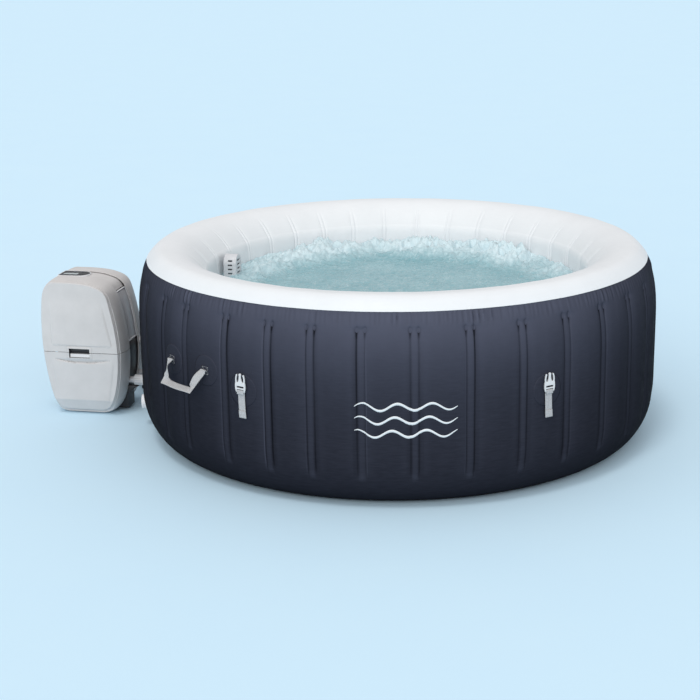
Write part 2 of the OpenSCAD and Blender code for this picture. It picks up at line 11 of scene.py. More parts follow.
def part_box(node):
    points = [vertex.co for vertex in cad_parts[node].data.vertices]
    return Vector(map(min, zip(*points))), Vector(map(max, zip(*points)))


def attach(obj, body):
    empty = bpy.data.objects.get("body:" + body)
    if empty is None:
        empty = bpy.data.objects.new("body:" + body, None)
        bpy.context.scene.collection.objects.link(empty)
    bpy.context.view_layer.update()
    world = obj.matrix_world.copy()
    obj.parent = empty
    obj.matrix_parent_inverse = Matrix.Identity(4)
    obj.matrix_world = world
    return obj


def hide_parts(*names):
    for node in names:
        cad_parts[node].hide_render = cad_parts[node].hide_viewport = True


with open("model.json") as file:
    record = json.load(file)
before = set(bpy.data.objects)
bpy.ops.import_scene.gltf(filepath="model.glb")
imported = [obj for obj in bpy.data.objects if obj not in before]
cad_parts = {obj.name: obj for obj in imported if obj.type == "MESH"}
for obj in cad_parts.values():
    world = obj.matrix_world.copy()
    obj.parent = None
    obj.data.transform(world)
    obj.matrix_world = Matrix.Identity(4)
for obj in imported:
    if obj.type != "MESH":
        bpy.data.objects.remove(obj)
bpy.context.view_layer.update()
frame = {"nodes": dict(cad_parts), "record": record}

# ---------- sizes, in metres, from the frame ----------

MM = 0.001
TUB_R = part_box("outer_wall")[1].x
SEAM_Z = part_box("outer_wall")[1].z
SEAM_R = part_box("top_panel")[1].x
TUB_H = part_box("top_panel")[1].z
CREASE_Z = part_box("top_panel")[0].z
FOOT_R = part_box("floor_sheet")[1].x
FOOT_Z = 0.1875
BELLY_Z = 0.381
CREST_R = TUB_R - 0.094
CREASE_R = TUB_R - 0.235
SKIN = 1.2 * MM
WATER_Z = 0.492
FULL_TURN = 2 * math.pi

BEAMS = 34
BEAM_STEP = FULL_TURN / BEAMS
BEAM_START = math.radians(4)
WELD_HALF = 13 * MM
WELD_FOOT = (0.098, 0.125)
WELD_HEAD = (0.568, 0.582)
# degrees that some beams stand off their even places
BEAM_SHIFTS = {0: -0.75, 1: -0.45, 28: 1.6, 30: 1.6, 31: 1.5, 33: -0.55}
BEAM_ANGLES = [BEAM_START + BEAM_STEP * i + math.radians(BEAM_SHIFTS.get(i, 0)) for i in range(BEAMS)]

STRAP_Z = 0.350
HANDLE_Z = 0.388
HANDLE_SPAN = 0.178
STRAP_ANGLES = [BEAM_START + BEAM_STEP * (bay + 0.5) for bay in (-3.89, 2, 8, 13, 19, 24)]
HANDLE_ANGLES = [math.radians(-47.25), math.radians(132.75)]
PATCH_R = TUB_R + 1.3 * MM
STRAP_Y = -(PATCH_R + 5.8 * MM)

PUMP_ANGLE = math.radians(-100.5)
PUMP_AWAY = 1.138
PUMP_L = 0.313
PUMP_H = 0.498
PUMP_T = 0.260
DOOR_Z = 0.235


def around(angle):
    """Turns a local frame (X right, -Y outwards) to an azimuth round the tub."""
    return Matrix.Rotation(angle, 4, "Z")


def at_pump():
    """The pump unit's local frame: origin on the ground under its middle, X towards its front cover."""
    return around(PUMP_ANGLE) @ Matrix.Translation((0, -PUMP_AWAY, 0))


def smooth(x, low, high):
    """0 below low, 1 above high, smooth between. Works on numbers and arrays."""
    t = np.clip((x - low) / (high - low), 0, 1)
    return t * t * (3 - 2 * t)


def plateau(x, rise, fall):
    """1 between two slopes, 0 outside them; rise and fall are (from, to) pairs."""
    return smooth(x, *rise) * (1 - smooth(x, *fall))


def bump(x, centre, width):
    return np.exp(-(((x - centre) / width) ** 2))


# ---------- materials ----------


class Nodes:
    """A short way to build one procedural material."""

    def __init__(self, name):
        self.material = bpy.data.materials.new(name)
        self.material.use_nodes = True
        self.tree = self.material.node_tree
        self.shader = self.tree.nodes["Principled BSDF"]
        self.place = self.node("ShaderNodeNewGeometry").outputs["Position"]

    def node(self, kind, **values):
        made = self.tree.nodes.new(kind)
        for key, value in values.items():
            setattr(made, key, value)
        return made

    def link(self, source, target):
        self.tree.links.new(source, target)

    def fill(self, socket, value):
        """Gives an input a constant, or links it to another node's output."""
        if isinstance(value, bpy.types.NodeSocket):
            self.link(value, socket)
        else:
            socket.default_value = value

    def set(self, made, **inputs):
        for key, value in inputs.items():
            self.fill(made.inputs[key.replace("_", " ")], value)
        return made

    def stretch(self, vector, scale):
        return self.set(self.node("ShaderNodeMapping"), Vector=vector, Scale=scale).outputs["Vector"]

    def noise(self, scale, detail, rough=0.6, vector=None):
        made = self.set(self.node("ShaderNodeTexNoise"), Scale=scale, Detail=detail, Roughness=rough)
        self.link(vector or self.place, made.inputs["Vector"])
        return made.outputs["Fac"]

    def attribute(self, name, output="Fac"):
        return self.node("ShaderNodeAttribute", attribute_name=name).outputs[output]

    def cells(self, scale):
        return self.set(self.node("ShaderNodeTexVoronoi"), Scale=scale, Vector=self.place).outputs["Distance"]

    def wave(self, vector, scale, direction, distortion=0.0):
        made = self.node("ShaderNodeTexWave", bands_direction=direction)
        self.set(made, Vector=vector, Scale=scale, Distortion=distortion)
        return made.outputs["Fac"]

    def math(self, operation, a, b):
        made = self.node("ShaderNodeMath", operation=operation)
        for socket, value in zip(made.inputs, (a, b)):
            self.fill(socket, value)
        return made.outputs["Value"]

    def remap(self, value, low, high, to_low=0.0, to_high=1.0):
        made = self.node("ShaderNodeMapRange")
        self.set(made, Value=value, From_Min=low, From_Max=high, To_Min=to_low, To_Max=to_high)
        return made.outputs["Result"]

    def mix(self, factor, a, b):
        made = self.node("ShaderNodeMix", data_type="RGBA")
        for index, value in ((0, factor), (6, a), (7, b)):
            self.fill(made.inputs[index], value)
        return made.outputs[2]

    def height(self, value, distance, strength, normal=None):
        made = self.set(self.node("ShaderNodeBump"), Height=value, Distance=distance, Strength=strength)
        if normal:
            self.link(normal, made.inputs["Normal"])
        return made.outputs["Normal"]

    def finish(self, color, roughness, normal, metallic=0.0, coat=0.0, specular=0.5):
        self.set(self.shader, Base_Color=color, Roughness=roughness, Normal=normal, Metallic=metallic)
        self.set(self.shader, Coat_Weight=coat, Specular_IOR_Level=specular)
        return self.material


def rgb(red, green, blue):
    """A linear colour from its 0 to 255 display values."""
    def linear(v):
        v /= 255
        return v / 12.92 if v <= 0.04045 else ((v + 0.055) / 1.055) ** 2.4
    return (linear(red), linear(green), linear(blue), 1.0)


def shade(color, factor):
    return tuple(c * factor for c in color[:3]) + (1.0,)


def plastic(name, color, roughness=0.42, grain=900, depth=0.05 * MM, wear=0.12):
    """Moulded plastic: spark texture, faint mottling, painted shade in its crevices and edges rubbed a little
    paler.
    """
    m = Nodes(name)
    mottle = m.remap(m.noise(14, 4), 0.3, 0.7)
    base = m.mix(mottle, shade(color, 0.955), shade(color, 1.03))
    # Painted shade: concave places, where pointiness is low, are darkened towards a much darker copy of the
    # colour.
    pointed = m.node("ShaderNodeNewGeometry").outputs["Pointiness"]
    base = m.mix(m.remap(pointed, 0.495, 0.455, 0, 0.6), base, shade(color, 0.3))
    edge = m.remap(pointed, 0.51, 0.58)
    worn = m.math("MULTIPLY", m.math("MULTIPLY", edge, m.noise(160, 3)), wear * 2)
    base = m.mix(worn, base, shade(color, 1.25))
    gloss = m.remap(m.noise(60, 4), 0.3, 0.7, roughness - 0.05, roughness + 0.07)
    return m.finish(base, gloss, m.height(m.noise(grain, 2), depth, 0.6))


def rubber(name, color):
    m = Nodes(name)
    base = m.mix(m.noise(40, 4), shade(color, 0.8), shade(color, 1.3))
    dusty = m.mix(m.remap(m.noise(9, 5), 0.55, 0.75, 0, 0.25), base, shade(color, 2.4))
    grain = m.height(m.noise(700, 3), 0.12 * MM, 0.8)
    return m.finish(dusty, m.remap(m.noise(80, 3), 0.3, 0.7, 0.62, 0.8), grain, specular=0.35)


def vinyl(name, low_color, high_color, roughness, depth, low_z=0.03, high_z=0.6, bend=1.0, specular=0.25,
          rim_shade=0.0):
    """Laminated PVC sheet: fine leather-like grain, faint threads under it, and painted light that makes it
    paler upwards.

    The fold layer paints shade into its folds and highlights onto its ridges; rim_shade paints shade where it
    turns away from the camera.
    """
    m = Nodes(name)
    height = m.node("ShaderNodeSeparateXYZ")
    m.link(m.place, height.inputs["Vector"])
    # Painted light: the sheet goes from low_color to high_color with height, standing in for the light and
    # sky reflection on its upper part.
    up = m.math("POWER", m.remap(height.outputs["Z"], low_z, high_z), bend)
    base = m.mix(up, low_color, high_color)
    streak = m.noise(1.0, 4, vector=m.stretch(m.place, (30, 30, 220)))
    base = m.mix(m.remap(streak, 0.3, 0.7, 0, 0.10), base, shade(high_color, 1.12))
    cloud = m.remap(m.noise(5, 5), 0.35, 0.7, 0, 0.15)
    base = m.mix(cloud, base, shade(low_color, 0.8))
    # Painted shade where the fold layer is above 0, painted highlight where it is below 0.
    painted_fold_light = m.attribute("painted_fold_light")
    base = m.mix(m.remap(painted_fold_light, 0, 1, 0, 0.85), base, shade(low_color, 0.25))
    base = m.mix(m.remap(painted_fold_light, 0, -1, 0, 0.9), base, shade(high_color, 1.35))
    turned_away = m.set(m.node("ShaderNodeLayerWeight"), Blend=0.4).outputs["Facing"]
    rim = m.math("MULTIPLY", m.math("POWER", turned_away, 1.1), rim_shade)
    base = m.mix(rim, base, shade(low_color, 0.2))
    grain = m.height(m.cells(1400), depth, 0.5)
    thread = m.height(m.wave(m.place, 420, "Z", 1.5), depth * 0.6, 0.35, grain)
    soft = m.height(m.noise(38, 4), 0.5 * MM, 0.35, thread)
    gloss = m.remap(m.noise(30, 4), 0.3, 0.7, roughness - 0.05, roughness + 0.08)
    return m.finish(base, gloss, soft, specular=specular)


def webbing(name, color):
    """Woven webbing: ribs across the strap and rows of picks along it, from each strap's own lengths."""
    m = Nodes(name)
    strip = m.attribute("strip", "Vector")
    ribs = m.wave(strip, 1 / 3.1 / MM, "Y")
    picks = m.wave(strip, 1 / 4.4 / MM, "X")
    weave = m.math("MULTIPLY", ribs, picks)
    fuzz = m.noise(1500, 3)
    base = m.mix(m.remap(weave, 0.0, 0.9), shade(color, 0.62), shade(color, 1.15))
    base = m.mix(m.remap(fuzz, 0.35, 0.7, 0, 0.3), base, shade(color, 1.35))
    normal = m.height(weave, 0.5 * MM, 0.9)
    return m.finish(base, 0.72, m.height(fuzz, 0.15 * MM, 0.5, normal), specular=0.3)


def metal(name, color):
    m = Nodes(name)
    brushed = m.noise(1.0, 3, vector=m.stretch(m.place, (900, 900, 30)))
    base = m.mix(m.remap(brushed, 0.3, 0.7), shade(color, 0.85), shade(color, 1.1))
    gloss = m.remap(brushed, 0.3, 0.7, 0.22, 0.4)
    return m.finish(base, gloss, m.height(brushed, 0.04 * MM, 0.5), metallic=1.0)


def paper(name, color):
    m = Nodes(name)
    base = m.mix(m.noise(90, 5), shade(color, 0.85), shade(color, 1.05))
    return m.finish(base, 0.85, m.height(m.noise(900, 4), 0.2 * MM, 0.8), specular=0.2)


def glass_cover(name, color):
    """Dark liquid-crystal window under a clear, slightly scratched lens."""
    m = Nodes(name)
    rows = m.wave(m.place, 300, "Z")
    base = m.mix(m.remap(rows, 0, 1, 0, 0.2), color, shade(color, 1.3))
    scratch = m.remap(m.noise(120, 4), 0.3, 0.7, 0.08, 0.2)
    return m.finish(base, scratch, m.height(m.noise(60, 3), 0.05 * MM, 0.4), coat=1.0)


def board(name, color):
    m = Nodes(name)
    tracks = m.remap(m.cells(240), 0.02, 0.06, 1, 0)
    base = m.mix(tracks, color, shade(color, 2.2))
    return m.finish(base, 0.35, m.height(tracks, 0.05 * MM, 0.6), coat=0.4)


def water_surface(name):
    """Teal water: clear and glossy in the troughs, matt and pale where it is full of bubbles."""
    m = Nodes(name)
    froth = m.attribute("froth")
    speck = m.remap(m.cells(150), 0.05, 0.42, 1, 0)
    foam = m.noise(70, 6, 0.75)
    mixed = m.math("ADD", froth, m.math("MULTIPLY", m.math("SUBTRACT", foam, 0.5), 0.7))
    amount = m.remap(mixed, 0.12, 0.95)
    base = m.mix(amount, rgb(132, 178, 187), rgb(208, 227, 233))
    deep = m.remap(m.noise(9, 5), 0.35, 0.65, 0, 0.6)
    base = m.mix(m.math("MULTIPLY", deep, m.math("SUBTRACT", 1.0, amount)), base, rgb(106, 158, 169))
    fleck = m.math("MULTIPLY", speck, m.remap(m.noise(26, 3), 0.52, 0.72))
    base = m.mix(m.math("MULTIPLY", fleck, 0.8), base, rgb(240, 248, 250))
    gloss = m.remap(amount, 0, 1, 0.07, 0.5)
    ripple = m.height(m.noise(42, 5, 0.65), 5 * MM, 0.55)
    bubbles = m.height(m.cells(260), 1.5 * MM, 0.35, ripple)
    return m.finish(base, gloss, bubbles, specular=0.6)


# Each pair: the colour low down and a paler one high up; the step between them is painted light.
NAVY = (rgb(40, 42, 51), rgb(83, 86, 101))
WHITE = (rgb(226, 230, 233), rgb(232, 235, 238))

MATERIALS = {
    "wall_navy": vinyl("navy_vinyl", *NAVY, 0.55, 0.12 * MM, bend=3.0, specular=0.005, rim_shade=1.0),
    "wall_patch_navy": vinyl("navy_patch_vinyl", *NAVY, 0.48, 0.1 * MM, bend=2.8, specular=0.01,
                             rim_shade=0.95),
    "panel_white": vinyl("white_vinyl", *WHITE, 0.42, 0.08 * MM, 0.55, 0.66),
    "inner_white": vinyl("inner_white_vinyl", *WHITE, 0.4, 0.08 * MM, 0.3, 0.6),
    "beam_mesh": webbing("beam_mesh_sheet", rgb(190, 192, 196)),
    "webbing_grey": webbing("grey_webbing", rgb(204, 204, 206)),
    "buckle_grey": plastic("buckle_acetal", rgb(218, 219, 221), 0.32, 1200, 0.03 * MM, 0.1),
    "fitting_grey": plastic("fitting_plastic", rgb(206, 208, 212), 0.4),
    "nut_grey": plastic("nut_plastic", rgb(196, 197, 200), 0.4),
    "filter_paper": paper("filter_fleece", rgb(236, 236, 238)),
    "valve_white": plastic("valve_plastic", rgb(236, 237, 240), 0.35),
    "rubber_black": rubber("black_rubber", rgb(44, 44, 46)),
    "cover_grey": plastic("cover_plastic", rgb(208, 205, 204), 0.44, 1100, 0.06 * MM, 0.06),
    "door_grey": plastic("door_plastic", rgb(204, 202, 202), 0.44, 1100, 0.06 * MM, 0.06),
    "latch_white": plastic("latch_plastic", rgb(222, 223, 226), 0.36),
    "band_grey": plastic("band_plastic", rgb(200, 199, 202), 0.38, 800, 0.07 * MM, 0.1),
    "chassis_black": plastic("chassis_nylon", rgb(38, 38, 42), 0.5, 500, 0.12 * MM, 0.2),
    "panel_black": plastic("panel_overlay", rgb(40, 42, 47), 0.5, 1500, 0.02 * MM, 0.05),
    "display_glass": glass_cover("display_lens", rgb(158, 172, 176)),
    "button_grey": rubber("silicone_keys", rgb(84, 87, 94)),
    "rotor_grey": plastic("rotor_nylon", rgb(118, 118, 122), 0.45),
    "steel": metal("brushed_steel", rgb(200, 200, 204)),
    "board_green": board("circuit_board", rgb(30, 104, 66)),
    "cord_black": rubber("cord_rubber", rgb(40, 40, 43)),
    "test_blue": plastic("test_button_plastic", rgb(60, 106, 190), 0.35),
    "reset_red": plastic("reset_button_plastic", rgb(190, 50, 44), 0.35),
    "water": water_surface("bubbling_water"),
}


# ---------- mesh helpers ----------


def add_object(name, data):
    made = bpy.data.objects.new(name, data)
    bpy.context.scene.collection.objects.link(made)
    return made


def new_mesh(name, points, faces):
    mesh = bpy.data.meshes.new(name)
    mesh.from_pydata([tuple(p) for p in points], [], faces)
    return mesh


def shown_piece(name, mesh, slot, body, replaces, smooth_faces=True):
    """Shows a mesh as one piece that rides on a body, with its slot's material."""
    mesh.polygons.foreach_set("use_smooth", [smooth_faces] * len(mesh.polygons))
    made = add_object(name, mesh)
    mesh.materials.append(MATERIALS[slot])
    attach(made, body)
    if replaces:
        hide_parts(*replaces)
    return made


def piece(name, points, faces, slot, body, replaces=(), place=None, smooth_faces=True):
    """Makes one piece from points in a local frame."""
    mesh = new_mesh(name, points, faces)
    if place is not None:
        mesh.transform(place)
    work = bmesh.new()
    work.from_mesh(mesh)
    bmesh.ops.recalc_face_normals(work, faces=work.faces)
    work.to_mesh(mesh)
    work.free()
    return shown_piece(name, mesh, slot, body, replaces, smooth_faces)


def add_layer(made, name, values, kind="FLOAT", key="value"):
    """Stores one value for each point of a piece, for its material to read."""
    layer = made.data.attributes.new(name, kind, "POINT")
    layer.data.foreach_set(key, values)


def grid_faces(rows, columns, close_rows=False, close_columns=False):
    """Quads of a grid whose points run column by column within each row."""
    faces = []
    for i in range(rows if close_rows else rows - 1):
        for j in range(columns if close_columns else columns - 1):
            a, b = i * columns, (i + 1) % rows * columns
            k = (j + 1) % columns
            faces.append((a + j, a + k, b + k, b + j))
    return faces


def row_caps(rows, columns):
    """Two faces that close a tube-like grid at its first and its last row."""
    total = rows * columns
    return [tuple(range(columns)), tuple(range(total - 1, total - 1 - columns, -1))]


def closed_strip(rows, columns):
    """Faces of a strip whose rows run along it and close round it, with both ends capped."""
    first = tuple(i * columns for i in range(rows))
    last = tuple(i * columns + columns - 1 for i in range(rows - 1, -1, -1))
    return grid_faces(rows, columns, True, False) + [first, last]


def turned(radius, height, angles):
    """Points of a turned grid: rows of radii and heights, one column for each azimuth."""
    x = radius * np.sin(angles)
    y = -radius * np.cos(angles)
    return np.stack([x, y, height + 0 * angles], -1).reshape(-1, 3)


class Parts:
    """Several closed shapes gathered in one mesh."""

    def __init__(self):
        self.points = []
        self.faces = []
        self.strip = []

    def add(self, points, faces, strip=None):
        start = len(self.points)
        self.points += [Vector(p) for p in points]
        self.faces += [tuple(start + i for i in f) for f in faces]
        self.strip += strip if strip else [(0.0, 0.0, 0.0)] * len(points)

    def prism(self, outline, y0, y1):
        """An X-Z outline carried from y0 to y1."""
        n = len(outline)
        points = [(x, y, z) for y in (y0, y1) for x, z in outline]
        self.add(points, row_caps(2, n) + grid_faces(2, n, False, True))

    def ribbon(self, stations, width, thickness, across=8):
        """A flat strap through (middle, edge direction, face normal) stations, closed at both ends."""
        section = []
        half = thickness / 2
        for k in range(across + 1):
            section.append((2 * k / across - 1, half))
        for k in range(across, -1, -1):
            section.append((2 * k / across - 1, -half))
        points, strip, run = [], [], 0.0
        for i, (middle, edge, normal) in enumerate(stations):
            run += (middle - stations[i - 1][0]).length if i else 0.0
            for u, v in section:
                thin = 1 - 0.45 * abs(u) ** 10
                points.append(middle + edge * (u * width / 2) + normal * (v * thin))
                strip.append((run, u * width / 2, 0.0))
        size = (len(stations), len(section))
        self.add(points, grid_faces(*size, False, True) + row_caps(*size), strip)

    def tube(self, path, radius, sides=12):
        """A round rod along a path; radius is a number or one number for each point."""
        rings = []
        for i, p in enumerate(path):
            ahead = path[i + 1] if i + 1 < len(path) else p
            behind = path[i - 1] if i > 0 else p
            along = (ahead - behind).normalized()
            side = along.cross(Vector((0, 0, 1)))
            side = side.normalized() if side.length > 1e-4 else Vector((1, 0, 0))
            up = side.cross(along)
            r = radius[i] if isinstance(radius, list) else radius
            for k in range(sides):
                a = 2 * math.pi * k / sides
                rings.append(p + side * (r * math.cos(a)) + up * (r * math.sin(a)))
        self.add(rings, grid_faces(len(path), sides, False, True) + row_caps(len(path), sides))

    def build(self, name, slot, body, replaces=(), place=None, smooth_faces=True):
        made = piece(name, self.points, self.faces, slot, body, replaces, place, smooth_faces)
        add_layer(made, "strip", [v for p in self.strip for v in p], "FLOAT_VECTOR", "vector")
        return made


def bevel(made, width, angle=35):
    """Rounds the edges that are sharper than an angle in degrees."""
    modifier = made.modifiers.new("bevel", "BEVEL")
    modifier.width = width
    modifier.segments = 2
    modifier.limit_method = "ANGLE"
    modifier.angle_limit = math.radians(angle)
    modifier.harden_normals = False


# ---------- the tub's skins ----------


def nearest_beam(angles):
    """Signed angle from the nearest beam, and that beam's number."""
    away = (np.asarray(angles)[..., None] - np.array(BEAM_ANGLES) + math.pi) % FULL_TURN - math.pi
    number = np.abs(away).argmin(-1)
    return np.take_along_axis(away, number[..., None], -1)[..., 0], number


def waves(angles, counts, seed):
    """Irregular ripple round the tub: a sum of whole numbers of waves, between about -1 and 1."""
    pick = random.Random(seed)
    total = 0 * angles
    for count in counts:
        total = total + np.sin(count * angles + pick.uniform(0, FULL_TURN))
    return total / math.sqrt(2 * len(counts))


def wall_radius(z):
    """Radius of the outer wall's plain profile at a height."""
    low = FOOT_R + (TUB_R - FOOT_R) * np.sqrt(np.clip(1 - (z / FOOT_Z - 1) ** 2, 0, 1))
    k = np.clip((z - BELLY_Z) / (SEAM_Z - BELLY_Z), 0, 1)
    return np.where(z < FOOT_Z, low, TUB_R - (TUB_R - SEAM_R) * k ** 3.17)


# how far the band between a beam's welds stands out, in mm
SET_RISES = {0: 0.0, 1: 1.5, 2: 0.2, 30: 1.6, 31: 1.7, 32: 0.9, 33: -1.8}
BAND_RISE = np.array([SET_RISES.get(i, random.Random(i).uniform(-1.4, 1.4)) for i in range(BEAMS)])
FINE_WAVES = (263, 307, 331, 353, 397, 431)


def gathering(angles):
    """How strongly the seam is gathered at an azimuth, from 0 to 1."""
    return np.clip(0.5 + 0.9 * waves(angles, (3, 5, 8, 11), 8), 0, 1)


def wall_relief(angles, z):
    """How far the inflated wall stands out from its plain profile: bays, weld pairs, notches and puckers.

    The parts are in millimetres: at the beams (bay, band, groove, notch), all round (uneven), and at the
    seam with the top panel (pucker, tuck).
    """
    side, number = nearest_beam(angles)
    x = np.abs(side) * TUB_R
    welded = plateau(z, WELD_FOOT, WELD_HEAD)
    wide = plateau(z, (0.03, 0.2), (0.55, 0.61))
    outside = np.clip(x - WELD_HALF, 0, 1)
    bay = -3.0 * np.exp(-outside / 0.018) * welded - 4.2 * np.exp(-outside / 0.055) * wide
    inside = 1 - smooth(x, WELD_HALF - 2.5 * MM, WELD_HALF + 0.5 * MM)
    band = (BAND_RISE[number] * inside + 0.9 * np.clip(1 - (x / WELD_HALF) ** 2, 0, 1)) * welded
    groove = -1.1 * bump(x, WELD_HALF, 2.3 * MM) * welded
    notch = -3.6 * bump(x, WELD_HALF, 4.5 * MM) * bump(z, WELD_HEAD[0], 9 * MM)
    notch = notch + 1.6 * bump(x, 0, 9 * MM) * bump(z, 0.106, 4 * MM)
    uneven = 0.7 * waves(angles, (19, 31, 47, 58, 71), 3) * np.sin(7 * z + 3 * np.sin(5 * angles)) * wide
    strength = 0.3 + 0.7 * gathering(angles)
    fine = waves(angles, FINE_WAVES, 5)
    slant = waves(angles + 0.12 * (z - SEAM_Z), (219, 241, 290), 6)
    gathered = smooth(z, 0.566, 0.597) * (1 - 0.6 * smooth(z, 0.611, SEAM_Z))
    pucker = 1.9 * (fine + 0.7 * slant) * strength * gathered
    tuck = -1.2 * (1 + 0.4 * fine) * bump(z, SEAM_Z, 3 * MM)
    return (bay + band + groove + notch + uneven + pucker + tuck) * MM


def painted_wall_folds(angles, z):
    """Painted shade and highlight where the sheet folds: above 0, painted shade in the weld lines and tucks;
    below 0, painted highlight on the ridges.
    """
    side, number = nearest_beam(angles)
    x = np.abs(side) * TUB_R
    right = np.sign(side)
    rise = BAND_RISE[number] / 1.8
    welded = plateau(z, (0.100, 0.130), (0.560, 0.578))
    uneven = 0.75 + 0.25 * np.sin(9 * z + number * 2.4)
    # painted shade along the weld grooves and beside them
    dark = bump(x, WELD_HALF - 0.5 * MM, 2.4 * MM) * np.clip(0.62 + 0.45 * rise * right, 0.1, 1.0)
    dark = dark + 0.22 * bump(x, WELD_HALF + 5 * MM, 7 * MM) * np.clip(0.5 + rise * right, 0, 1)
    # painted highlight on the lit edge of a band
    light = bump(x, WELD_HALF + 3 * MM, 1.5 * MM) * np.clip(-0.1 - 0.5 * rise * right, 0, 0.45)
    ends = 0.8 * bump(x, WELD_HALF, 3.5 * MM) * bump(z, 0.560, 10 * MM)
    ends = ends - 0.3 * bump(x, 0, 12 * MM) * bump(z, 0.104, 3 * MM)
    fine = waves(angles, FINE_WAVES, 5)
    where = (0.15 + 0.85 * gathering(angles)) * smooth(z, 0.575, 0.598)
    soft = -0.10 * np.clip(1 - x / 0.05, 0, 1) * welded
    return (dark - light) * welded * uneven + ends - 0.20 * fine * where + soft


def on_wall(angle, z, lift):
    """A point on the inflated wall's surface."""
    angle, z = np.broadcast_arrays(np.asarray(angle, float), np.asarray(z, float))
    r = wall_radius(z) + wall_relief(angle, z) + lift
    return np.stack([r * np.sin(angle), -r * np.cos(angle), z], -1)


def skin(name, line, relief, offsets, back, slot, node, painted_folds=None):
    """A closed sheet: the shown side with its relief, and a coarser back one and a half sheets behind it."""
    angles = bay_columns(offsets)
    line = np.array(line)
    along = np.gradient(line, axis=0)
    along /= np.linalg.norm(along, axis=1)[:, None]
    out = np.stack([along[:, 1], -along[:, 0]], -1)
    back_rows = np.linspace(len(line) - 1, 0, back).astype(int)
    rows = []
    for k, behind in [(k, 0) for k in range(len(line))] + [(k, SKIN * 1.5) for k in back_rows]:
        (r, z), (nr, nz) = line[k], out[k]
        d = relief(angles, z + 0 * angles, r) - behind
        rows.append(turned(r + nr * d, z + nz * d, angles))
    faces = grid_faces(len(rows), len(angles), True, True)
    made = piece(name, np.concatenate(rows), faces, slot, "tub", (node,))
    made.data.set_sharp_from_angle(angle=math.radians(55))
    # the painted shade and highlight of the sheet's folds, for its material
    if painted_folds:
        shades = [painted_folds(angles, z + 0 * angles) for r, z in line]
        shades += [0 * angles] * back
        add_layer(made, "painted_fold_light", np.concatenate(shades).astype(float))


def bay_columns(offsets):
    """Azimuths of a skin's columns: true distances close to each beam, stretched to the bay further out."""
    near, even = math.radians(2.3), BEAM_STEP / 2
    found = []
    for i, angle in enumerate(BEAM_ANGLES):
        before = (angle - BEAM_ANGLES[i - 1]) % FULL_TURN / 2
        after = (BEAM_ANGLES[(i + 1) % BEAMS] - angle) % FULL_TURN / 2
        for o in offsets:
            half = after if o > 0 else before
            far = max(abs(o) - near, 0) / (even - near) * (half - near)
            found.append(angle + math.copysign(min(abs(o), near) + far, o))
    return np.array(found)


def bay_offsets(beside):
    """Column angles over one bay, mirrored about the beam, from distances beside it at the outer radius."""
    near = [d * MM / TUB_R for d in beside]
    return sorted([-a for a in near if a > 0] + near) + [BEAM_STEP / 2]


def outer_skin():
    line = []
    foot_rows = 14
    for i in range(foot_rows):
        a = math.radians(-90 + 90 * i / foot_rows)
        line.append((FOOT_R + (TUB_R - FOOT_R) * math.cos(a), FOOT_Z * (1 + math.sin(a))))
    for z in list(np.linspace(FOOT_Z, 0.555, 23)) + list(np.linspace(0.560, SEAM_Z, 19)):
        line.append((float(wall_radius(z)), z))
    beside = [0, 6.5, 10, 11.6, 13, 14.4, 16, 19] + list(range(23, 79, 5))

    def relief(angles, z, r):
        return wall_relief(angles, z)

    skin("wall_skin", line, relief, bay_offsets(beside), 7, "wall_navy", "outer_wall", painted_wall_folds)


def top_height(r):
    """Height of the top roll's plain profile at a radius."""
    if r > CREST_R:
        return TUB_H - (TUB_H - SEAM_Z) * ((r - CREST_R) / (SEAM_R - CREST_R)) ** 2
    return TUB_H - (TUB_H - CREASE_Z) * ((CREST_R - r) / (CREST_R - CREASE_R)) ** 2.45


def top_relief(angles, z, r):
    """Soft fullness between the beams, small puckers at the outer seam and pleats at the inner crease."""
    x = np.abs(nearest_beam(angles)[0]) * r
    inner = 1 - smooth(r, CREASE_R, CREASE_R + 0.075)
    outer = smooth(r, SEAM_R - 0.02, SEAM_R)
    full = -1.6 * np.exp(-x / 0.02) * (0.25 + inner)
    pleat = (-2.6 * bump(x, 7 * MM, 2.8 * MM) + 1.1 * bump(x, 0, 4 * MM)) * inner
    edge = 0.35 * waves(angles, (263, 307, 353), 5) * outer + 1.0 * outer
    return (full + pleat + edge + 0.5 * waves(angles, (13, 21, 34), 9)) * MM


def top_skin():
    radii = [SEAM_R - (SEAM_R - CREST_R) * k / 16 for k in range(16)]
    radii += [CREST_R - (CREST_R - CREASE_R) * k / 26 for k in range(27)]
    line = [(r, top_height(r)) for r in radii]
    offsets = bay_offsets([0, 4, 6, 8, 10, 13, 18, 26, 36, 48, 60, 72])
    skin("top_roll_skin", line, top_relief, offsets, 6, "panel_white", "top_panel")


def inner_radius(z):
    """Inner wall's radius; just under the crease it carries on the top roll's slope, as taut sheet does."""
    drop = CREASE_Z - z
    s = np.clip(drop / CREASE_Z, 0, 1)
    eased = 9 * MM * (1 - np.exp(-drop / 0.014)) * np.exp(-drop / 0.07)
    return CREASE_R - eased - 0.015 * np.sin(math.pi * s ** 0.8) + 0.025 * s ** 8


def inner_relief(angles, z, r):
    """Double pleats at each beam, deepest at the crease, with soft fullness between them."""
    below = CREASE_Z - z
    lean = 5 * MM * np.sin(3 * angles + 1) * smooth(below, 0, 0.12)
    x = np.abs(nearest_beam(angles)[0] * CREASE_R + lean)
    fade = 1 - 0.75 * smooth(below, 0.05, 0.16)
    pleat = -3.0 * bump(x, 7 * MM, 2.6 * MM) + 1.2 * bump(x, 0, 4 * MM)
    third = -1.5 * bump(x, 17 * MM, 3 * MM) * (0.5 + 0.5 * np.sin(11 * angles))
    full = 4.0 * (1 - np.exp(-x / 0.03)) - 2.0
    start = smooth(below, 0.0, 0.03)
    own = ((pleat + third) * fade + full + 0.6 * waves(angles + 0.3 * z, (23, 41, 67), 12)) * MM
    return own * start + top_relief(angles, z, CREASE_R) * (1 - start)


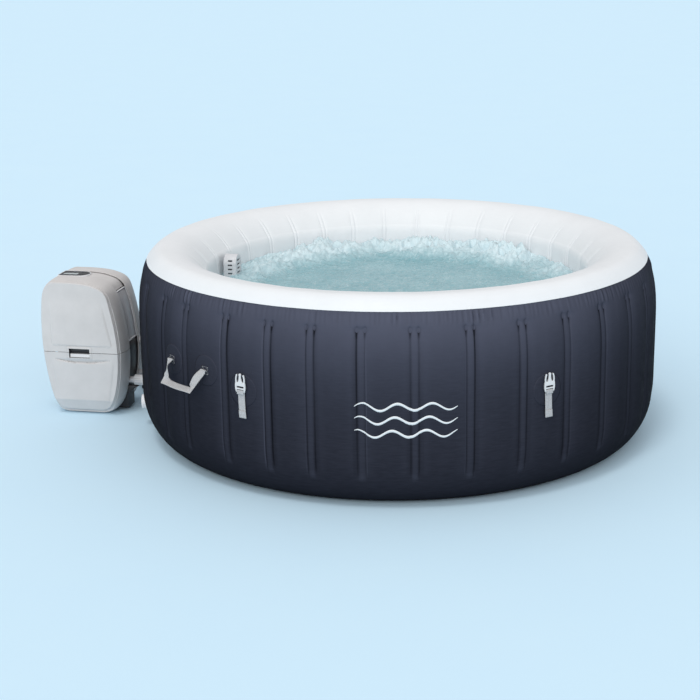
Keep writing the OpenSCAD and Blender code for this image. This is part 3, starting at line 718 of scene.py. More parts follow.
def inner_skin():
    heights = [CREASE_Z - 0.0045 * k for k in range(24)]
    heights += list(np.linspace(heights[-1] - 0.01, SKIN, 16))
    line = [(float(inner_radius(z)), z) for z in heights]
    offsets = bay_offsets([0, 3, 5.5, 8, 9.5, 11, 14, 19, 22.5, 26, 32, 40, 50, 60, 70])
    skin("inner_wall_skin", line, inner_relief, offsets, 5, "inner_white", "inner_wall")


def beam_sheets():
    """Upright mesh sheets that tie the two walls together at their welds."""
    made = Parts()
    half_sheet = 0.5 * MM
    heights = np.linspace(0.112, CREASE_Z - 9 * MM, 26)
    for angle in BEAM_ANGLES:
        here = np.array([angle])
        points, strip = [], []
        for z in heights:
            outer = float(wall_radius(z)) + float(wall_relief(here, np.array([z]))[0]) - 2.4 * MM
            inner = float(inner_radius(z)) + 4.5 * MM
            for side, share in ((-1, 0), (-1, 1), (1, 1), (1, 0)):
                radius = inner + (outer - inner) * share
                turn = angle + side * half_sheet / radius
                points.append((radius * math.sin(turn), -radius * math.cos(turn), z))
                strip.append((z, radius, 0.0))
        made.add(points, grid_faces(len(heights), 4, False, True) + row_caps(len(heights), 4), strip)
    made.build("beam_sheets", "beam_mesh", "tub", ("wall_beams",), None, False)


def floor_skin():
    """Bottom sheet with a welded ring, and low ripples on its upper side."""
    angles = np.linspace(0, FULL_TURN, 180, endpoint=False)
    weld_r = 0.66
    weld_width = 6 * MM
    rows = []
    radii = np.linspace(FOOT_R, 0.02, 40)
    for side in (1, -1):
        for r in radii[::side]:
            ripple = 0.25 * math.sin(r * 90) * (1 if side > 0 else 0)
            weld = -0.5 * math.exp(-(((r - weld_r) / weld_width) ** 2)) * side
            z = (0.7 + (0.45 + ripple * 0.5 + weld) * side) * MM
            rows.append(turned(r + 0 * angles, z, angles))
    faces = grid_faces(len(rows), len(angles), True, True)
    piece("floor_skin", np.concatenate(rows), faces, "inner_white", "tub", ("floor_sheet",))


# ---------- water ----------


def water_height(x, y):
    """Height of the bubbling surface above the still line, and how full of froth it is."""
    r = math.hypot(x, y)
    edge = smooth(r, 0.30, 0.60)
    back = float(smooth(y, -0.25, 0.45))
    p = Vector((x * 9, y * 9, 3.1))
    roll = noise.noise(p) * 0.5 + noise.noise(p * 2.3) * 0.3
    boil = 1 - abs(noise.noise(Vector((x * 16, y * 16, 7.7)))) * 1.6
    boil += 0.5 * (1 - abs(noise.noise(Vector((x * 37, y * 37, 1.3)))) * 2)
    fine = noise.noise(Vector((x * 85, y * 85, 5.5))) + 0.5 * noise.noise(Vector((x * 170, y * 170, 2.2)))
    clump = float(smooth(noise.noise(Vector((x * 6, y * 6, 9.4))), -0.5, 0.35))
    ring = float(smooth(r, 0.42, 0.56)) * back
    lift = float(edge) * (0.12 + 0.3 * back) * clump + ring * (0.45 + 0.35 * clump)
    burst = lift * (34 * max(boil, 0) * (0.35 + 0.65 * back) + 8 * fine)
    rise = (4 * roll + 2.4 * fine + burst + 8 * ring) * MM
    froth = 0.1 + 0.62 * lift + 0.22 * max(fine, 0) + 0.12 * roll + 0.3 * ring
    return rise * float(1 - 0.35 * smooth(r, 0.62, 0.66)), froth


def water():
    """Closed body of water: a square grid eased into a disc, with sides down the inner wall."""
    n = 290
    side = np.linspace(-1, 1, n)
    radius = 0.652
    bottom_z = 0.30
    points, froth = [], []
    for v in side:
        for u in side:
            x = radius * u * math.sqrt(1 - v * v / 2)
            y = radius * v * math.sqrt(1 - u * u / 2)
            rise, foam = water_height(x, y)
            points.append((x, y, WATER_Z + rise))
            froth.append(foam)
    faces = grid_faces(n, n)
    rim = list(range(n)) + [n * i + n - 1 for i in range(1, n)]
    rim += [n * (n - 1) + i for i in range(n - 2, -1, -1)] + [n * i for i in range(n - 2, 0, -1)]
    ring = rim
    for z in (WATER_Z - 0.03, bottom_z):
        start = len(points)
        for i in rim:
            x, y = points[i][0], points[i][1]
            points.append((x, y, z))
            froth.append(0.2)
        lower = list(range(start, start + len(rim)))
        faces += [(ring[i], ring[i - 1], lower[i - 1], lower[i]) for i in range(len(rim))]
        ring = lower
    faces.append(tuple(ring))
    add_layer(piece("bubbling_water", points, faces, "water", "tub"), "froth", froth)


outer_skin()
top_skin()
inner_skin()
beam_sheets()
floor_skin()
water()

# ---------- patches, straps, buckles, handles and the wall print ----------


def patch(angle, z, radius):
    """A round welded patch that follows the wall, with two raised weld rings near its rim."""
    columns, rings = 64, 18
    spread = np.linspace(0, FULL_TURN, columns, endpoint=False)
    rows = []
    for side in (1, -1):
        for k in range(rings)[::side]:
            share = 0.02 + 0.98 * k / (rings - 1)
            rho = radius * share
            raised = 0.75 * bump(share, 0.79, 0.025) + 0.75 * bump(share, 0.91, 0.025)
            lift = (1.25 - 0.9 * smooth(share, 0.96, 1.0) + raised if side > 0 else -1.5) * MM
            rows.append(on_wall(angle + rho * np.sin(spread) / TUB_R, z + rho * np.cos(spread), lift))
    return np.concatenate(rows), grid_faces(len(rows), columns, False, True) + row_caps(len(rows), columns)


STRAP_PATCH_R = 52 * MM
HANDLE_PATCH_R = 50 * MM
STRAP_WIDTH = 25 * MM
HANDLE_TURN = math.asin(HANDLE_SPAN / 2 / TUB_R)
HANDLE_PATCHES = [a + side * HANDLE_TURN for a in HANDLE_ANGLES for side in (-1, 1)]


def patches():
    made = Parts()
    for angle in STRAP_ANGLES:
        made.add(*patch(angle, STRAP_Z, STRAP_PATCH_R))
    for angle in HANDLE_PATCHES:
        made.add(*patch(angle, HANDLE_Z, HANDLE_PATCH_R))
    made.build("weld_patches", "wall_patch_navy", "tub", ("wall_patches",))


def stitch(made, a, b):
    """One thread stitch, thinner at both ends."""
    thick, thin = 0.45 * MM, 0.18 * MM
    middle = (a + b) / 2
    made.tube([a, a.lerp(middle, 0.3), b.lerp(middle, 0.3), b], [thin, thick, thick, thin], 6)


def stitch_line(made, path):
    """Stitches along a polyline, with a short gap after each."""
    step = 3.4 * MM
    for a, b in zip(path, path[1:]):
        count = max(int((b - a).length / step), 1)
        for k in range(count):
            stitch(made, a.lerp(b, (k + 0.12) / count), a.lerp(b, (k + 0.78) / count))


X_AXIS = Vector((1, 0, 0))


def buckle_place(angle):
    """A strap's local frame: its origin is the middle of the buckle's bar."""
    return around(angle) @ Matrix.Translation((0, STRAP_Y, STRAP_Z))


def strap_webbing():
    """Six webbing tails: each loops over its buckle's bar, hangs against the wall and ends in a sewn hem."""
    made, thread = Parts(), Parts()
    length = 85 * MM
    loop = 2.9 * MM
    web, hem_web = 1.6 * MM, 1.7 * MM
    for number, angle in enumerate(STRAP_ANGLES):
        place = buckle_place(angle)
        turn = place.to_3x3()
        sway = random.Random(number).uniform(2, 4) * MM

        def station(x, y, z, out=(0, 1, 0)):
            return place @ Vector((x, y, z)), turn @ X_AXIS, turn @ Vector(out)

        stations = []
        for k in range(33):
            share = 1 - k / 32
            y = loop - 1.2 * MM * math.sin(math.pi * share) * share
            stations.append(station(sway * share ** 2, y, -length * share))
        for k in range(1, 13):
            a = math.pi * k / 12
            out = (0, math.cos(a), math.sin(a))
            stations.append(station(0, out[1] * loop, out[2] * loop, out))
        stations += [station(0, -loop, -2.5 * MM * k, (0, -1, 0)) for k in range(1, 5)]
        made.ribbon(stations, STRAP_WIDTH, web)
        hem = []
        for k in range(9):
            z = (-86 + 2.9 * k) * MM
            y = loop - 1.75 * MM - (0.5 * MM if k in (0, 8) else 0)
            hem.append(station(sway * (z / length) ** 2, y, z))
        made.ribbon(hem, STRAP_WIDTH + web, hem_web)
        for z in (-67 * MM, -71 * MM):
            ends = [station(s * 10.5 * MM + sway * 0.65, loop - 2.75 * MM, z) for s in (-1, 1)]
            stitch_line(thread, [end[0] for end in ends])
    made.build("strap_webbing", "webbing_grey", "tub", ("strap_webs",))
    thread.build("strap_stitches", "buckle_grey", "tub")


def cell_plate(made, columns, rows, solid, y0, y1):
    """A plate with openings: columns(z) gives the X lines at each Z row, solid names the filled cells."""
    across = len(columns(rows[0]))
    index = {}
    points, faces = [], []

    def corner(i, j, y):
        if (i, j, y) not in index:
            index[(i, j, y)] = len(points)
            points.append((columns(rows[i])[j], y, rows[i]))
        return index[(i, j, y)]

    def filled(i, j):
        return 0 <= i < len(rows) - 1 and 0 <= j < across - 1 and (i, j) in solid

    for i, j in sorted(solid):
        box = [(i, j), (i, j + 1), (i + 1, j + 1), (i + 1, j)]
        for y in (y0, y1):
            faces.append(tuple(corner(*c, y) for c in box))
        beside = [(i - 1, j), (i, j + 1), (i + 1, j), (i, j - 1)]
        for a, b, cell in zip(box, box[1:] + box[:1], beside):
            if not filled(*cell):
                faces.append((corner(*a, y0), corner(*b, y0), corner(*b, y1), corner(*a, y1)))
    made.add(points, faces)


def in_mm(outline, side=1):
    """An outline given in millimetres, mirrored where side is -1."""
    return [(side * x * MM, z * MM) for x, z in outline]


def buckles():
    """Male side-release buckles: slotted frame, two sprung prongs and a round-tipped centre tongue."""
    outer = {-3: 15.6, 1.5: 17.2, 6: 18.3, 10: 18.9, 16: 18.9, 24: 18.5, 28: 16.8}
    slot_edge = 13.4
    tip_z = 52
    tip_r = 4.3

    def columns(z):
        edge = outer[min(outer, key=lambda k: abs(k - z / MM))]
        return [x * MM for x in (-edge, -slot_edge, slot_edge, edge)]

    rows = [z * MM for z in outer]
    solid = {(i, j) for i in range(6) for j in (0, 2)} | {(2, 1), (4, 1), (5, 1)}
    prong = [(9.8, 26), (17.0, 26), (17.7, 32), (17.2, 40), (15.9, 46.5), (14.4, 51.5), (12.6, 53.2),
             (10.9, 52.2), (10.4, 49.6), (12.1, 46), (13.2, 40), (13.4, 33.5), (12.4, 29.2)]
    tongue = [(-10, 26), (10, 26), (7.6, 29.5), (4.9, 36), (3.7, 43), (3.5, 48)]
    for degrees in range(-35, 216, 25):
        a = math.radians(degrees)
        tongue.append((tip_r * math.cos(a), tip_z + tip_r * math.sin(a)))
    tongue += [(-3.5, 48), (-3.7, 43), (-4.9, 36), (-7.6, 29.5)]
    rib = [(-1, 30), (1, 30), (0.7, 46), (-0.7, 46)]
    for number, angle in enumerate(STRAP_ANGLES, 1):
        made = Parts()
        cell_plate(made, columns, rows, solid, -3.4 * MM, 1.3 * MM)
        for side in (-1, 1):
            made.prism(in_mm(prong, side), -3.1 * MM, 1.0 * MM)
        made.prism(in_mm(tongue), -3.3 * MM, 0.8 * MM)
        made.prism(in_mm(rib), -4.1 * MM, -3.0 * MM)
        made.tube([Vector((x * MM, 0, 0)) for x in (-14.2, -5, 5, 14.2)], 1.7 * MM)
        name = f"buckle_{number}"
        moulding = made.build(name + "_moulding", "buckle_grey", name, (name,), buckle_place(angle), False)
        bevel(moulding, 0.45 * MM)


HANDLE_Y = -(math.sqrt(PATCH_R ** 2 - (HANDLE_SPAN / 2 - 12 * MM) ** 2) + 5 * MM)


def handle_stations():
    """The loop from its left end, down a twisted leg, along the flat grip and up the right leg."""
    end_x = HANDLE_SPAN / 2 - 1 * MM
    grip_end, grip_corner = 53 * MM, 66 * MM
    grip_y, grip_z = -36 * MM, -61 * MM
    down = Vector((0, -0.93, -0.37))
    face = Vector((0, -0.37, 0.93))

    def leg(side, degrees, spread):
        """One leg from its sewn end down; degrees and spread say how far and how widely it twists."""
        found = []
        for k in range(6):
            a = math.radians(-20 + 200 * k / 6)
            out = Vector((0, math.cos(a), math.sin(a)))
            found.append((Vector((side * end_x, 0, 0)) + out * 3 * MM, X_AXIS * side, out))
        top = Vector((side * end_x, -3 * MM, -2 * MM))
        low = Vector((side * 69 * MM, -31 * MM, -47 * MM))
        for k in range(15):
            t = k / 14
            middle = top.lerp(low, t) + Vector((0, -5 * MM * math.sin(math.pi * t), 0))
            twist = math.radians(degrees) * math.exp(-(((t - 0.42) / spread) ** 2))
            edge = X_AXIS * side * math.cos(twist) + face * math.sin(twist)
            found.append((middle, edge, edge.cross(down).normalized() * -side))
        found.append((Vector((side * grip_corner, grip_y, grip_z)), X_AXIS * side + down, face))
        return found

    grip = []
    for k in range(13):
        t = k / 12
        sag = down * (2.5 * MM * math.sin(math.pi * t))
        middle = Vector((-grip_end, grip_y, grip_z)).lerp(Vector((grip_end, grip_y, grip_z)), t) + sag
        grip.append((middle, down, face))
    return leg(-1, -58, 0.3) + grip + leg(1, -40, 0.42)[::-1]


def handles():
    tabs, thread = Parts(), Parts()
    half = 15 * MM
    raised, sunk = 2.6 * MM, 0.3 * MM
    u = np.linspace(-1, 1, 9)
    for name, angle in zip(("handle_front", "handle_rear"), HANDLE_ANGLES):
        made = Parts()
        made.ribbon(handle_stations(), STRAP_WIDTH, 2.6 * MM, 10)
        place = around(angle) @ Matrix.Translation((0, HANDLE_Y, HANDLE_Z))
        made.build(name + "_webbing", "webbing_grey", name, (name,), place)
    for angle in HANDLE_PATCHES:
        lifts = [(v, raised - (0.5 * MM if abs(v) == 1 else 0)) for v in u]
        lifts += [(v, sunk) for v in u[::-1]]
        rows = [on_wall(angle + u * half / TUB_R, HANDLE_Z + v * half, lift) for v, lift in lifts]
        tabs.add(np.concatenate(rows), closed_strip(len(rows), len(u)))

        def at(x, z):
            return Vector(on_wall(angle + x * MM / TUB_R, HANDLE_Z + z * MM, 2.8 * MM))

        box = [(-12, -12), (12, -12), (12, 12), (-12, 12)]
        stitch_line(thread, [at(*c) for c in box + [box[0], box[2]]])
        stitch_line(thread, [at(*box[3]), at(*box[1])])
    tabs.build("handle_tabs", "wall_patch_navy", "tub")
    thread.build("handle_stitches", "webbing_grey", "tub")


def wave_print():
    """A plain printed motif of three wavy lines on the front of the wall."""
    made = Parts()
    columns = np.linspace(math.radians(-8.5), math.radians(11.5), 150)
    run = (columns - columns[0]) * TUB_R
    top_z, spacing = 0.335, 0.042
    wave_height, wave_length = 0.011, 0.105
    half_line = 0.0042
    for row in range(3):
        middle = top_z - spacing * row + wave_height * np.sin(run * 2 * math.pi / wave_length + row * 0.5)
        thick = half_line * np.sin(np.clip(run / run[-1], 0.0, 1.0) * math.pi) ** 0.35
        section = ((-1, 0.35), (0, 0.5), (1, 0.35), (1, -0.5), (-1, -0.5))
        rows = [on_wall(columns, middle + share * thick, lift * MM) for share, lift in section]
        made.add(np.concatenate(rows), closed_strip(len(rows), len(columns)))
    made.build("wave_print", "panel_white", "tub")


patches()
strap_webbing()
buckles()
handles()
wave_print()

# ---------- pump unit ----------

# the side outline: shares of the unit's length from its middle, and of its height
OUTLINE_SHARES = [
    (-0.22, 0), (0.22, 0), (0.38, 0.062), (0.468, 0.228), (0.5, 0.465), (0.456, 0.723), (0.362, 0.912),
    (0.172, 0.98), (-0.125, 1), (-0.34, 0.992), (-0.468, 0.872), (-0.5, 0.595), (-0.468, 0.327),
    (-0.37, 0.066),
]
COVER_IN = 46 * MM
COVER_OUT = PUMP_T / 2
SHOULDER = 60 * MM
FACE_INSET = 22 * MM
GROOVE_BACK = 10 * MM
TOP_Z = 0.893 * PUMP_H
TOP_INSET = 4 * MM
TOP_HALF = 45 * MM
LATCH_Y = -4 * MM
LATCH_W = 76 * MM
PUMP_MIDDLE = 0.245
MIDDLE = np.array([0.0, PUMP_MIDDLE])


def egg(steps):
    """The unit's side outline: a closed curve through the share points."""
    shares = np.array(OUTLINE_SHARES)
    a, b, c, d = (np.roll(shares, k, axis=0) for k in (1, 0, -1, -2))
    found = []
    for i in range(len(shares)):
        for t in np.linspace(0, 1, steps, endpoint=False):
            p = 0.5 * (2 * b[i] + t * (c[i] - a[i]) + t * t * (2 * a[i] - 5 * b[i] + 4 * c[i] - d[i])
                       + t ** 3 * (3 * b[i] - 3 * c[i] + d[i] - a[i]))
            found.append((p[0], min(max(p[1], 0), 1)))
    return np.array(found)


def outline(inset, steps=24):
    """The side outline in metres, set in from the unit's full size."""
    shares = egg(steps)
    return np.stack([shares[:, 0] * (PUMP_L - 2 * inset), inset + shares[:, 1] * (PUMP_H - 2 * inset)], -1)


def front_detail(y, z):
    """Mouldings of the front: raised upper panel, latch surround, finger scoop, lower panel and chin."""
    right = 0.118 - 0.2 * (z - 0.26)
    panel = plateau(z, (0.2605, 0.2635), (0.36, 0.45))
    panel *= plateau(y, (-0.108, -0.102), (right - 0.003, right + 0.003))
    shelf = plateau(z, (0.236, 0.262), (0.262, 0.264))
    cy, cz = np.abs(y - LATCH_Y) - 0.041, np.abs(z - 0.234) - 0.0165
    round_off = np.sqrt(np.clip(cy, 0, 1) ** 2 + np.clip(cz, 0, 1) ** 2) + np.minimum(np.maximum(cy, cz), 0)
    surround = 1 - smooth(round_off, 0.0035, 0.0065)
    u = (y - 0.006) / 0.108
    low = 0.197 + 0.0135 * u ** 2
    high = 0.2115 - 0.001 * u ** 2
    scoop = np.clip((high - z) / np.maximum(high - low, 1 * MM), 0, 1) * (1 - smooth(low - z, 0, 1.6 * MM))
    scoop *= np.clip(1 - u ** 2, 0, 1) ** 0.5
    left_edge = -0.106 + 0.14 * np.clip(0.19 - z, 0, 1)
    right_edge = 0.120 - 0.16 * np.clip(0.19 - z, 0, 1)
    lower = plateau(y, (left_edge - 0.004, left_edge + 0.003), (right_edge - 0.003, right_edge + 0.004))
    lower *= plateau(z, (0.052, 0.056), (0.18, 0.225))
    chin = np.clip(0.056 - z, 0, 1) * 0.42
    return (2.1 * panel + 0.5 * shelf + 1.6 * surround - 6.5 * scoop * (z < 0.2125) + 1.7 * lower) * MM - chin


def rear_detail(y, z):
    """Six louvres and a shallow oval panel on the rear cover."""
    oval = 1 - smooth(np.sqrt((y / 0.118) ** 2 + ((z - 0.26) / 0.2) ** 2), 0.96, 1.0)
    louvres = 0 * y
    for k in range(6):
        louvres = louvres + bump(z, 0.300 + 0.016 * k, 3.2 * MM)
    louvres = louvres * (1 - smooth(np.abs(y), 0.060, 0.066))
    return (1.2 * oval - 2.6 * louvres) * MM


def crown_lines(grooved):
    """A side cover's section from its rim to its face: (X, share of the face inset, depth of the groove)."""
    lines = [(x, 0.0, 0.0) for x in np.linspace(COVER_IN, COVER_OUT - SHOULDER, 6)]
    for k in range(1, 17):
        a = math.radians(72) * k / 16
        lines.append((COVER_OUT - SHOULDER * (1 - math.sin(a)), (1 - math.cos(a)) ** 0.9, 0.0))
    if grooved:
        a = math.asin(1 - GROOVE_BACK / SHOULDER)
        share = (1 - math.cos(a)) ** 0.9
        x = COVER_OUT - GROOVE_BACK
        lines = [line for line in lines if abs(line[0] - x) > 2.5 * MM]
        for offset, deep in ((-1.7, 0), (-1.3, 4.0), (1.3, 4.0), (1.7, 0)):
            lines.append((x + offset * MM, share + offset * 0.03, deep * MM))
        lines.sort()
    last = lines[-1]
    for k in range(1, 5):
        a = math.pi / 2 * k / 4
        lines.append((last[0] + (COVER_OUT - last[0]) * math.sin(a), last[1] + 0.10 * (1 - math.cos(a)), 0.0))
    return lines


def crown(detail, grooved=False):
    """Open surface of one side cover, rim to middle of its face: points and faces, in the unit's frame."""
    full, small = outline(0), outline(FACE_INSET)
    factor = (1 - 0.62 * smooth(full[:, 1], 0.40, 0.49))[:, None]
    inwards = MIDDLE - full
    inwards /= np.linalg.norm(inwards, axis=1)[:, None]
    flat = 0 * full[:, 0]
    rows = []
    for x, share, deep in crown_lines(grooved):
        edge = full + (small - full) * share * factor + inwards * deep
        rows.append(np.column_stack([x + flat, edge]))
    rim = rows[-1][:, 1:]
    for k in range(1, 66):
        s = 1 - k / 65.3
        domed = COVER_OUT + 0.8 * MM * (1 - s * s)
        rows.append(np.column_stack([domed + flat, MIDDLE + (rim - MIDDLE) * s]))
    points = np.concatenate(rows)
    near = smooth(points[:, 0], COVER_OUT - 0.03, COVER_OUT - 0.004)
    points[:, 0] += detail(points[:, 1], points[:, 2]) * near
    n = len(full)
    faces = grid_faces(len(rows), n, False, True)
    faces.append(tuple(range(len(points) - n, len(points))))
    return points, faces


def bisect(mesh, place, direction, drop=False):
    """Cuts a surface along a plane; drop removes the side that the direction points to."""
    geometry = mesh.verts[:] + mesh.edges[:] + mesh.faces[:]
    bmesh.ops.bisect_plane(mesh, geom=geometry, plane_co=place, plane_no=direction, clear_outer=drop)


def punch(mesh, planes, tested):
    """Cuts a convex opening: planes are (point, outward direction) pairs, tested says which faces may go."""
    for place, direction in planes:
        bisect(mesh, place, direction)
    gone = []
    for face in mesh.faces:
        centre = face.calc_center_median()
        if tested(centre) and all((centre - Vector(p)).dot(Vector(d)) < 0 for p, d in planes):
            gone.append(face)
    bmesh.ops.delete(mesh, geom=gone, context="FACES")


def shell(name, points, faces, slot, body, node, edit=None, thickness=2.6 * MM):
    """A moulded shell from an open surface: edit cuts it, then it gets its wall thickness and eased edges."""
    mesh = new_mesh(name, points, faces)
    work = bmesh.new()
    work.from_mesh(mesh)
    if edit:
        edit(work)
    bmesh.ops.recalc_face_normals(work, faces=work.faces)
    centre = Vector((0, 0, PUMP_MIDDLE))
    if sum((f.calc_center_median() - centre).dot(f.normal) for f in work.faces) < 0:
        bmesh.ops.reverse_faces(work, faces=work.faces)
    work.to_mesh(mesh)
    work.free()
    mesh.transform(at_pump())
    made = shown_piece(name, mesh, slot, body, (node,))
    wall = made.modifiers.new("wall", "SOLIDIFY")
    wall.thickness = thickness
    wall.offset = -1
    bevel(made, 0.6 * MM, 50)


def covers():
    """Front cover, service door under it with the latch's opening across their seam, and rear cover."""
    half = LATCH_W / 2 + 1 * MM
    low, middle, high = 0.2155, 0.23, 0.2495
    half_seam = 0.9 * MM
    opening = [
        ((COVER_OUT, LATCH_Y + half, middle), (0, 1, 0)),
        ((COVER_OUT, LATCH_Y - half, middle), (0, -1, 0)),
        ((COVER_OUT, 0, high), (0, 0, 1)),
        ((COVER_OUT, 0, low), (0, 0, -1)),
    ]

    def on_face(centre):
        return centre.x > 0.1

    def upper(mesh):
        bisect(mesh, (0, 0, DOOR_Z + half_seam), (0, 0, -1), True)
        punch(mesh, opening, on_face)

    def lower(mesh):
        bisect(mesh, (0, 0, DOOR_Z - half_seam), (0, 0, 1), True)
        punch(mesh, opening, on_face)

    points, faces = crown(front_detail, True)
    shell("front_cover_shell", points, faces, "cover_grey", "tub", "pump_front_cover", upper)
    shell("service_door_shell", points, faces, "door_grey", "pump_door", "pump_door", lower)
    points, faces = crown(rear_detail)
    points[:, 0] *= -1
    shell("rear_cover_shell", points, faces, "cover_grey", "tub", "pump_rear_cover")


def trays():
    """Open boxes behind the latch opening, one on the front cover and one on the door, and the latch."""

    def across(made, outline_points, half):
        made.prism(outline_points, LATCH_Y - half, LATCH_Y + half)

    def upright(x0, x1, z0, z1):
        return [(x0, z0), (x1, z0), (x1, z1), (x0, z1)]

    half = LATCH_W / 2 + 3 * MM
    back, front = COVER_OUT - 13 * MM, COVER_OUT - 1.2 * MM
    for name, body, low, high, lip in (
        ("latch_tray_upper", "tub", DOOR_Z + 1 * MM, 0.2525, 0.2500),
        ("latch_tray_lower", "pump_door", 0.2090, DOOR_Z - 1 * MM, 0.2090),
    ):
        made = Parts()
        across(made, upright(back, back + 2 * MM, low, high), half)
        across(made, upright(back, front, lip, lip + 2.5 * MM), half)
        for side in (-1, 1):
            end = upright(back, front, low, high)
            made.prism(end, LATCH_Y + side * half, LATCH_Y + side * (half - 1.6 * MM))
        bevel(made.build(name, "chassis_black", body, (), at_pump(), False), 0.3 * MM)
    made = Parts()
    profile = [(-11, 216.4), (-2.6, 216.4), (-2.0, 217.6), (-2.0, 219), (-3.0, 220), (-2.4, 221),
               (-3.4, 222), (-2.8, 223), (-3.8, 224), (-3.2, 225), (-4.6, 228.2), (-5.4, 228.8), (-11, 228.8)]
    across(made, [(COVER_OUT + x * MM, z * MM) for x, z in profile], LATCH_W / 2 - 1.4 * MM)
    bevel(made.build("latch_tab", "latch_white", "door_latch", ("door_latch",), at_pump(), False), 0.5 * MM)


PANEL_R = 38 * MM
PANEL_Y = -105 * MM
PANEL_ROUND = -37 * MM
PANEL_TOP = PUMP_H - 1 * MM


def panel_outline(grow):
    """The control panel's D shape, counted round from its outer left corner, with eased outer corners."""
    r = PANEL_R + grow
    ease = 7 * MM
    steps = 20
    found = []
    for side, start in ((-1, 180), (1, 270)):
        for k in range(6):
            a = math.radians(start + 90 * k / 5)
            x = side * (r - ease) + ease * math.cos(a)
            found.append((x, PANEL_Y - grow + ease + ease * math.sin(a)))
    for k in range(steps + 1):
        a = math.pi * k / steps
        found.append((r * math.cos(a), PANEL_ROUND + r * math.sin(a)))
    return found


def trims():
    """Pale beads along both edges of the side band and across its ends: raised beads whose pale colour paints
    the highlights along the band's lips.
    """
    made = Parts()
    rim = outline(3.2 * MM)
    right = [p for p in rim if p[0] > 0 and 0.259 < p[1] < TOP_Z]
    left = [p for p in rim if p[0] < 0 and 0.064 < p[1] < TOP_Z]

    def crosswise(place, radius):
        made.tube([Vector((x * MM, *place)) for x in (-42, -20, 20, 42)], radius, 10)

    def rise(place):
        return place[1]

    for run in (right, left):
        for x in (-41.5 * MM, 41.5 * MM):
            made.tube([Vector((x, *p)) for p in run], 1.7 * MM, 8)
    for run in (right, left):
        crosswise(max(run, key=rise), 2.6 * MM)
    crosswise(min(right, key=rise), 2.2 * MM)
    # the pale colour paints the highlight along the band's lips
    made.build("band_trim", "latch_white", "tub", (), at_pump())


def top_shell():
    """Top cover between the two side covers, with an opening for the control panel."""
    ring = outline(TOP_INSET, 40)
    end = smooth(ring[:, 1], TOP_Z + 30 * MM, TOP_Z)
    away = ring - MIDDLE
    away /= np.linalg.norm(away, axis=1)[:, None]
    rows = []
    for x in np.linspace(-TOP_HALF, TOP_HALF, 15):
        swell = 1.2 * MM * (1 - (x / TOP_HALF) ** 2)
        lift = (swell * 0.5 - 6 * MM * end)[:, None]
        rows.append(np.column_stack([x + 0 * ring[:, 0], ring + away * lift]))
    faces = grid_faces(len(rows), len(ring), False, True)
    opening = panel_outline(0.5 * MM)
    planes = []
    for (ax, ay), (bx, by) in zip(opening, opening[1:] + opening[:1]):
        if math.hypot(bx - ax, by - ay) > 1e-5:
            planes.append(((ax, ay, PUMP_H), (by - ay, ax - bx, 0)))

    def edit(mesh):
        bisect(mesh, (0, 0, TOP_Z + 1 * MM), (0, 0, -1), True)
        punch(mesh, planes, lambda centre: centre.z > PUMP_H * 0.9)

    points = np.concatenate(rows)
    shell("top_cover_shell", points, faces, "cover_grey", "tub", "pump_top_cover", edit, 2.4 * MM)


def panel_tray():
    """The tray that the control panel sits in, with a low lip round it; its pale colour paints the highlight
    along that lip.
    """
    made = Parts()
    floor = PANEL_TOP - 9 * MM
    rings = [(0.4, floor), (0.4, PANEL_TOP + 0.5 * MM), (1.4, PANEL_TOP + 1 * MM),
             (3.0, PANEL_TOP + 0.4 * MM), (3.0, floor - 2 * MM)]
    points = [(x, y, z) for grow, z in rings for x, y in panel_outline(grow * MM)]
    size = (len(rings), len(points) // len(rings))
    made.add(points, grid_faces(*size, False, True) + row_caps(*size))
    # the pale colour paints the highlight along the panel's lip
    made.build("panel_tray", "latch_white", "tub", (), at_pump())


def cord():
    """Coiled mains cord between the rear cover and the safety plug."""
    centre = Vector((-PUMP_T / 2 - 0.110, 0, 0))
    r = 4.3 * MM
    plug_end, plug_z = 0.098, 9 * MM
    leader = [(-112, 0, 6), (-135, 0, 5), (-152, -2, 5), (-164, -6, 9), (-176, -13, 13.5), (-186, -21, 11)]
    path = [Vector((x * MM, y * MM, z * MM)) for x, y, z in leader]
    turns = 2.36
    for k in range(150):
        t = k / 149
        a = math.radians(-32) - FULL_TURN * turns * t
        radius = 0.0515 + 0.0175 * t + 0.6 * MM * math.sin(23 * t)
        path.append(centre + Vector((radius * math.cos(a), radius * math.sin(a), r + 0.2 * MM)))
    end = centre + Vector((0, plug_end, plug_z))
    last = path[-1]
    for k in range(1, 9):
        t = k / 8
        path.append(last.lerp(end, t) + Vector((0, 0, 1.5 * MM * math.sin(math.pi * t))))
    made = Parts()
    made.tube(path, r, 12)
    for k in range(5):
        y = 0.0905 + 0.0016 * k
        sleeve = [centre + Vector((0, y, plug_z)), centre + Vector((0, y + 0.9 * MM, plug_z))]
        made.tube(sleeve, 6.2 * MM - 0.25 * MM * (4 - k), 14)
    made.build("mains_cord", "cord_black", "tub", ("power_cord",), at_pump())


covers()
trays()
top_shell()
panel_tray()
trims()
cord()

# ---------- edges of the CAD nodes that stay ----------


def ease_edges(name, width):
    """Welds a CAD node's split corners and rounds its edges; its shape stays, its stored normals go."""
    node = frame["nodes"][name]
    if "custom_normal" in node.data.attributes:
        node.data.attributes.remove(node.data.attributes["custom_normal"])
    weld = node.modifiers.new("weld", "WELD")
    weld.merge_threshold = 0.01 * MM
    bevel(node, width, 32)


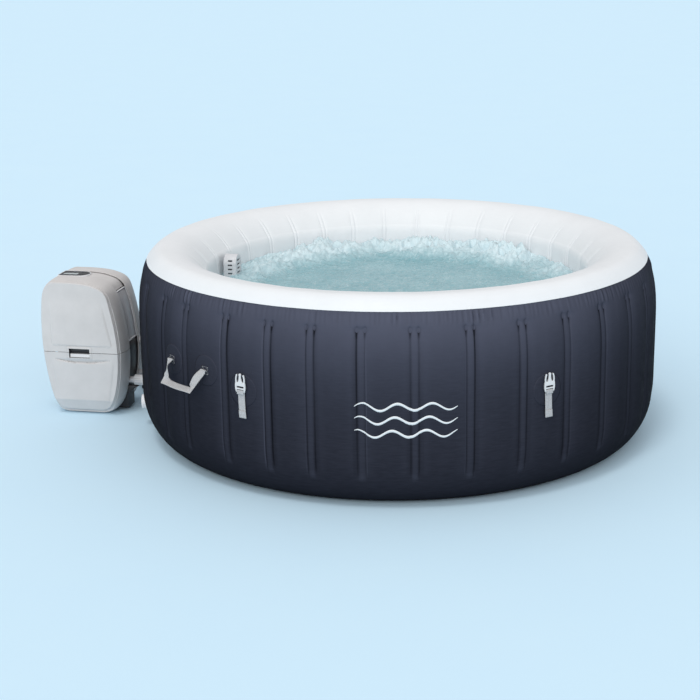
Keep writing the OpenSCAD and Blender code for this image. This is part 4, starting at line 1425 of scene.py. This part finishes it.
# rounding in mm, and the CAD nodes that get it
EASED = {
    0.3: ["display_window"],
    0.4: ["pump_screws"],
    0.5: ["drain_valve", "air_valve", "coupling_spigots"],
    0.6: ["control_panel", "outlet_grille", "drain_cap", "air_cap", "wall_ports", "plug_test_button",
          "plug_reset_button", "button_power", "button_heat", "button_filter", "button_bubbles", "button_up",
          "button_down"],
    0.7: ["nut_inlet", "nut_outlet", "nut_air"],
    0.8: ["pump_side_band", "pump_feet"],
    1.0: ["filter_cover"],
    1.2: ["pump_chassis"],
    2.0: ["safety_plug"],
}
for width, names in EASED.items():
    for name in names:
        ease_edges(name, width * MM)

# ---------- materials on the CAD nodes that stay ----------

slots = {part["node"]: part["material_slot"] for part in frame["record"]["subparts"]}
for name, node in frame["nodes"].items():
    if node.hide_render:
        continue
    node.data.materials.clear()
    node.data.materials.append(MATERIALS[slots[name]])
    node.data.polygons.foreach_set("use_smooth", [True] * len(node.data.polygons))

# ---------- floor, light and camera ----------


def studio():
    """A pale floor out to the horizon, an even sky and three soft lights."""
    bpy.ops.mesh.primitive_plane_add(size=600, location=(0, 0, -0.5 * MM))
    floor = bpy.context.object
    floor.name = "studio_floor"
    ground = Nodes("pale_floor")
    tint = ground.mix(ground.noise(2.5, 4), rgb(208, 237, 255), rgb(211, 239, 255))
    grain = ground.height(ground.noise(30, 2), 0.1 * MM, 0.1)
    floor.data.materials.append(ground.finish(tint, 0.9, grain, specular=0.1))
    world = bpy.data.worlds.new("studio")
    bpy.context.scene.world = world
    world.use_nodes = True
    sky = world.node_tree.nodes["Background"]
    sky.inputs["Color"].default_value = (0.97, 0.98, 1.0, 1.0)
    sky.inputs["Strength"].default_value = 0.67
    for name, place, spread, power in (
        ("key", (-1.6, -5.0, 2.4), 45, 0.92),
        ("fill", (3.4, -4.2, 2.4), 50, 0.30),
        ("top", (-0.9, -1.6, 5.0), 14, 0.62),
    ):
        lamp = bpy.data.lights.new(name, "SUN")
        lamp.angle = math.radians(spread)
        lamp.energy = power
        lamp.color = (1.0, 0.975, 0.945)
        made = add_object(name, lamp)
        made.location = place
        made.rotation_euler = Vector(place).to_track_quat("Z", "Y").to_euler()


def camera():
    """The main view: the camera's place, how far it looks down, its slight roll and its lens."""
    place = (0, -5.2365, 1.736)
    look_down = 0.2748
    roll = -0.0069
    data = bpy.data.cameras.new("camera")
    data.sensor_width = 36
    data.lens = 78.87
    data.shift_x = -0.0681
    made = add_object("camera", data)
    turn = Matrix.Rotation(math.pi / 2 - look_down, 4, "X") @ Matrix.Rotation(roll, 4, "Z")
    made.matrix_world = Matrix.Translation(place) @ turn
    bpy.context.scene.camera = made


studio()
camera()
bpy.context.scene.view_settings.view_transform = "Standard"
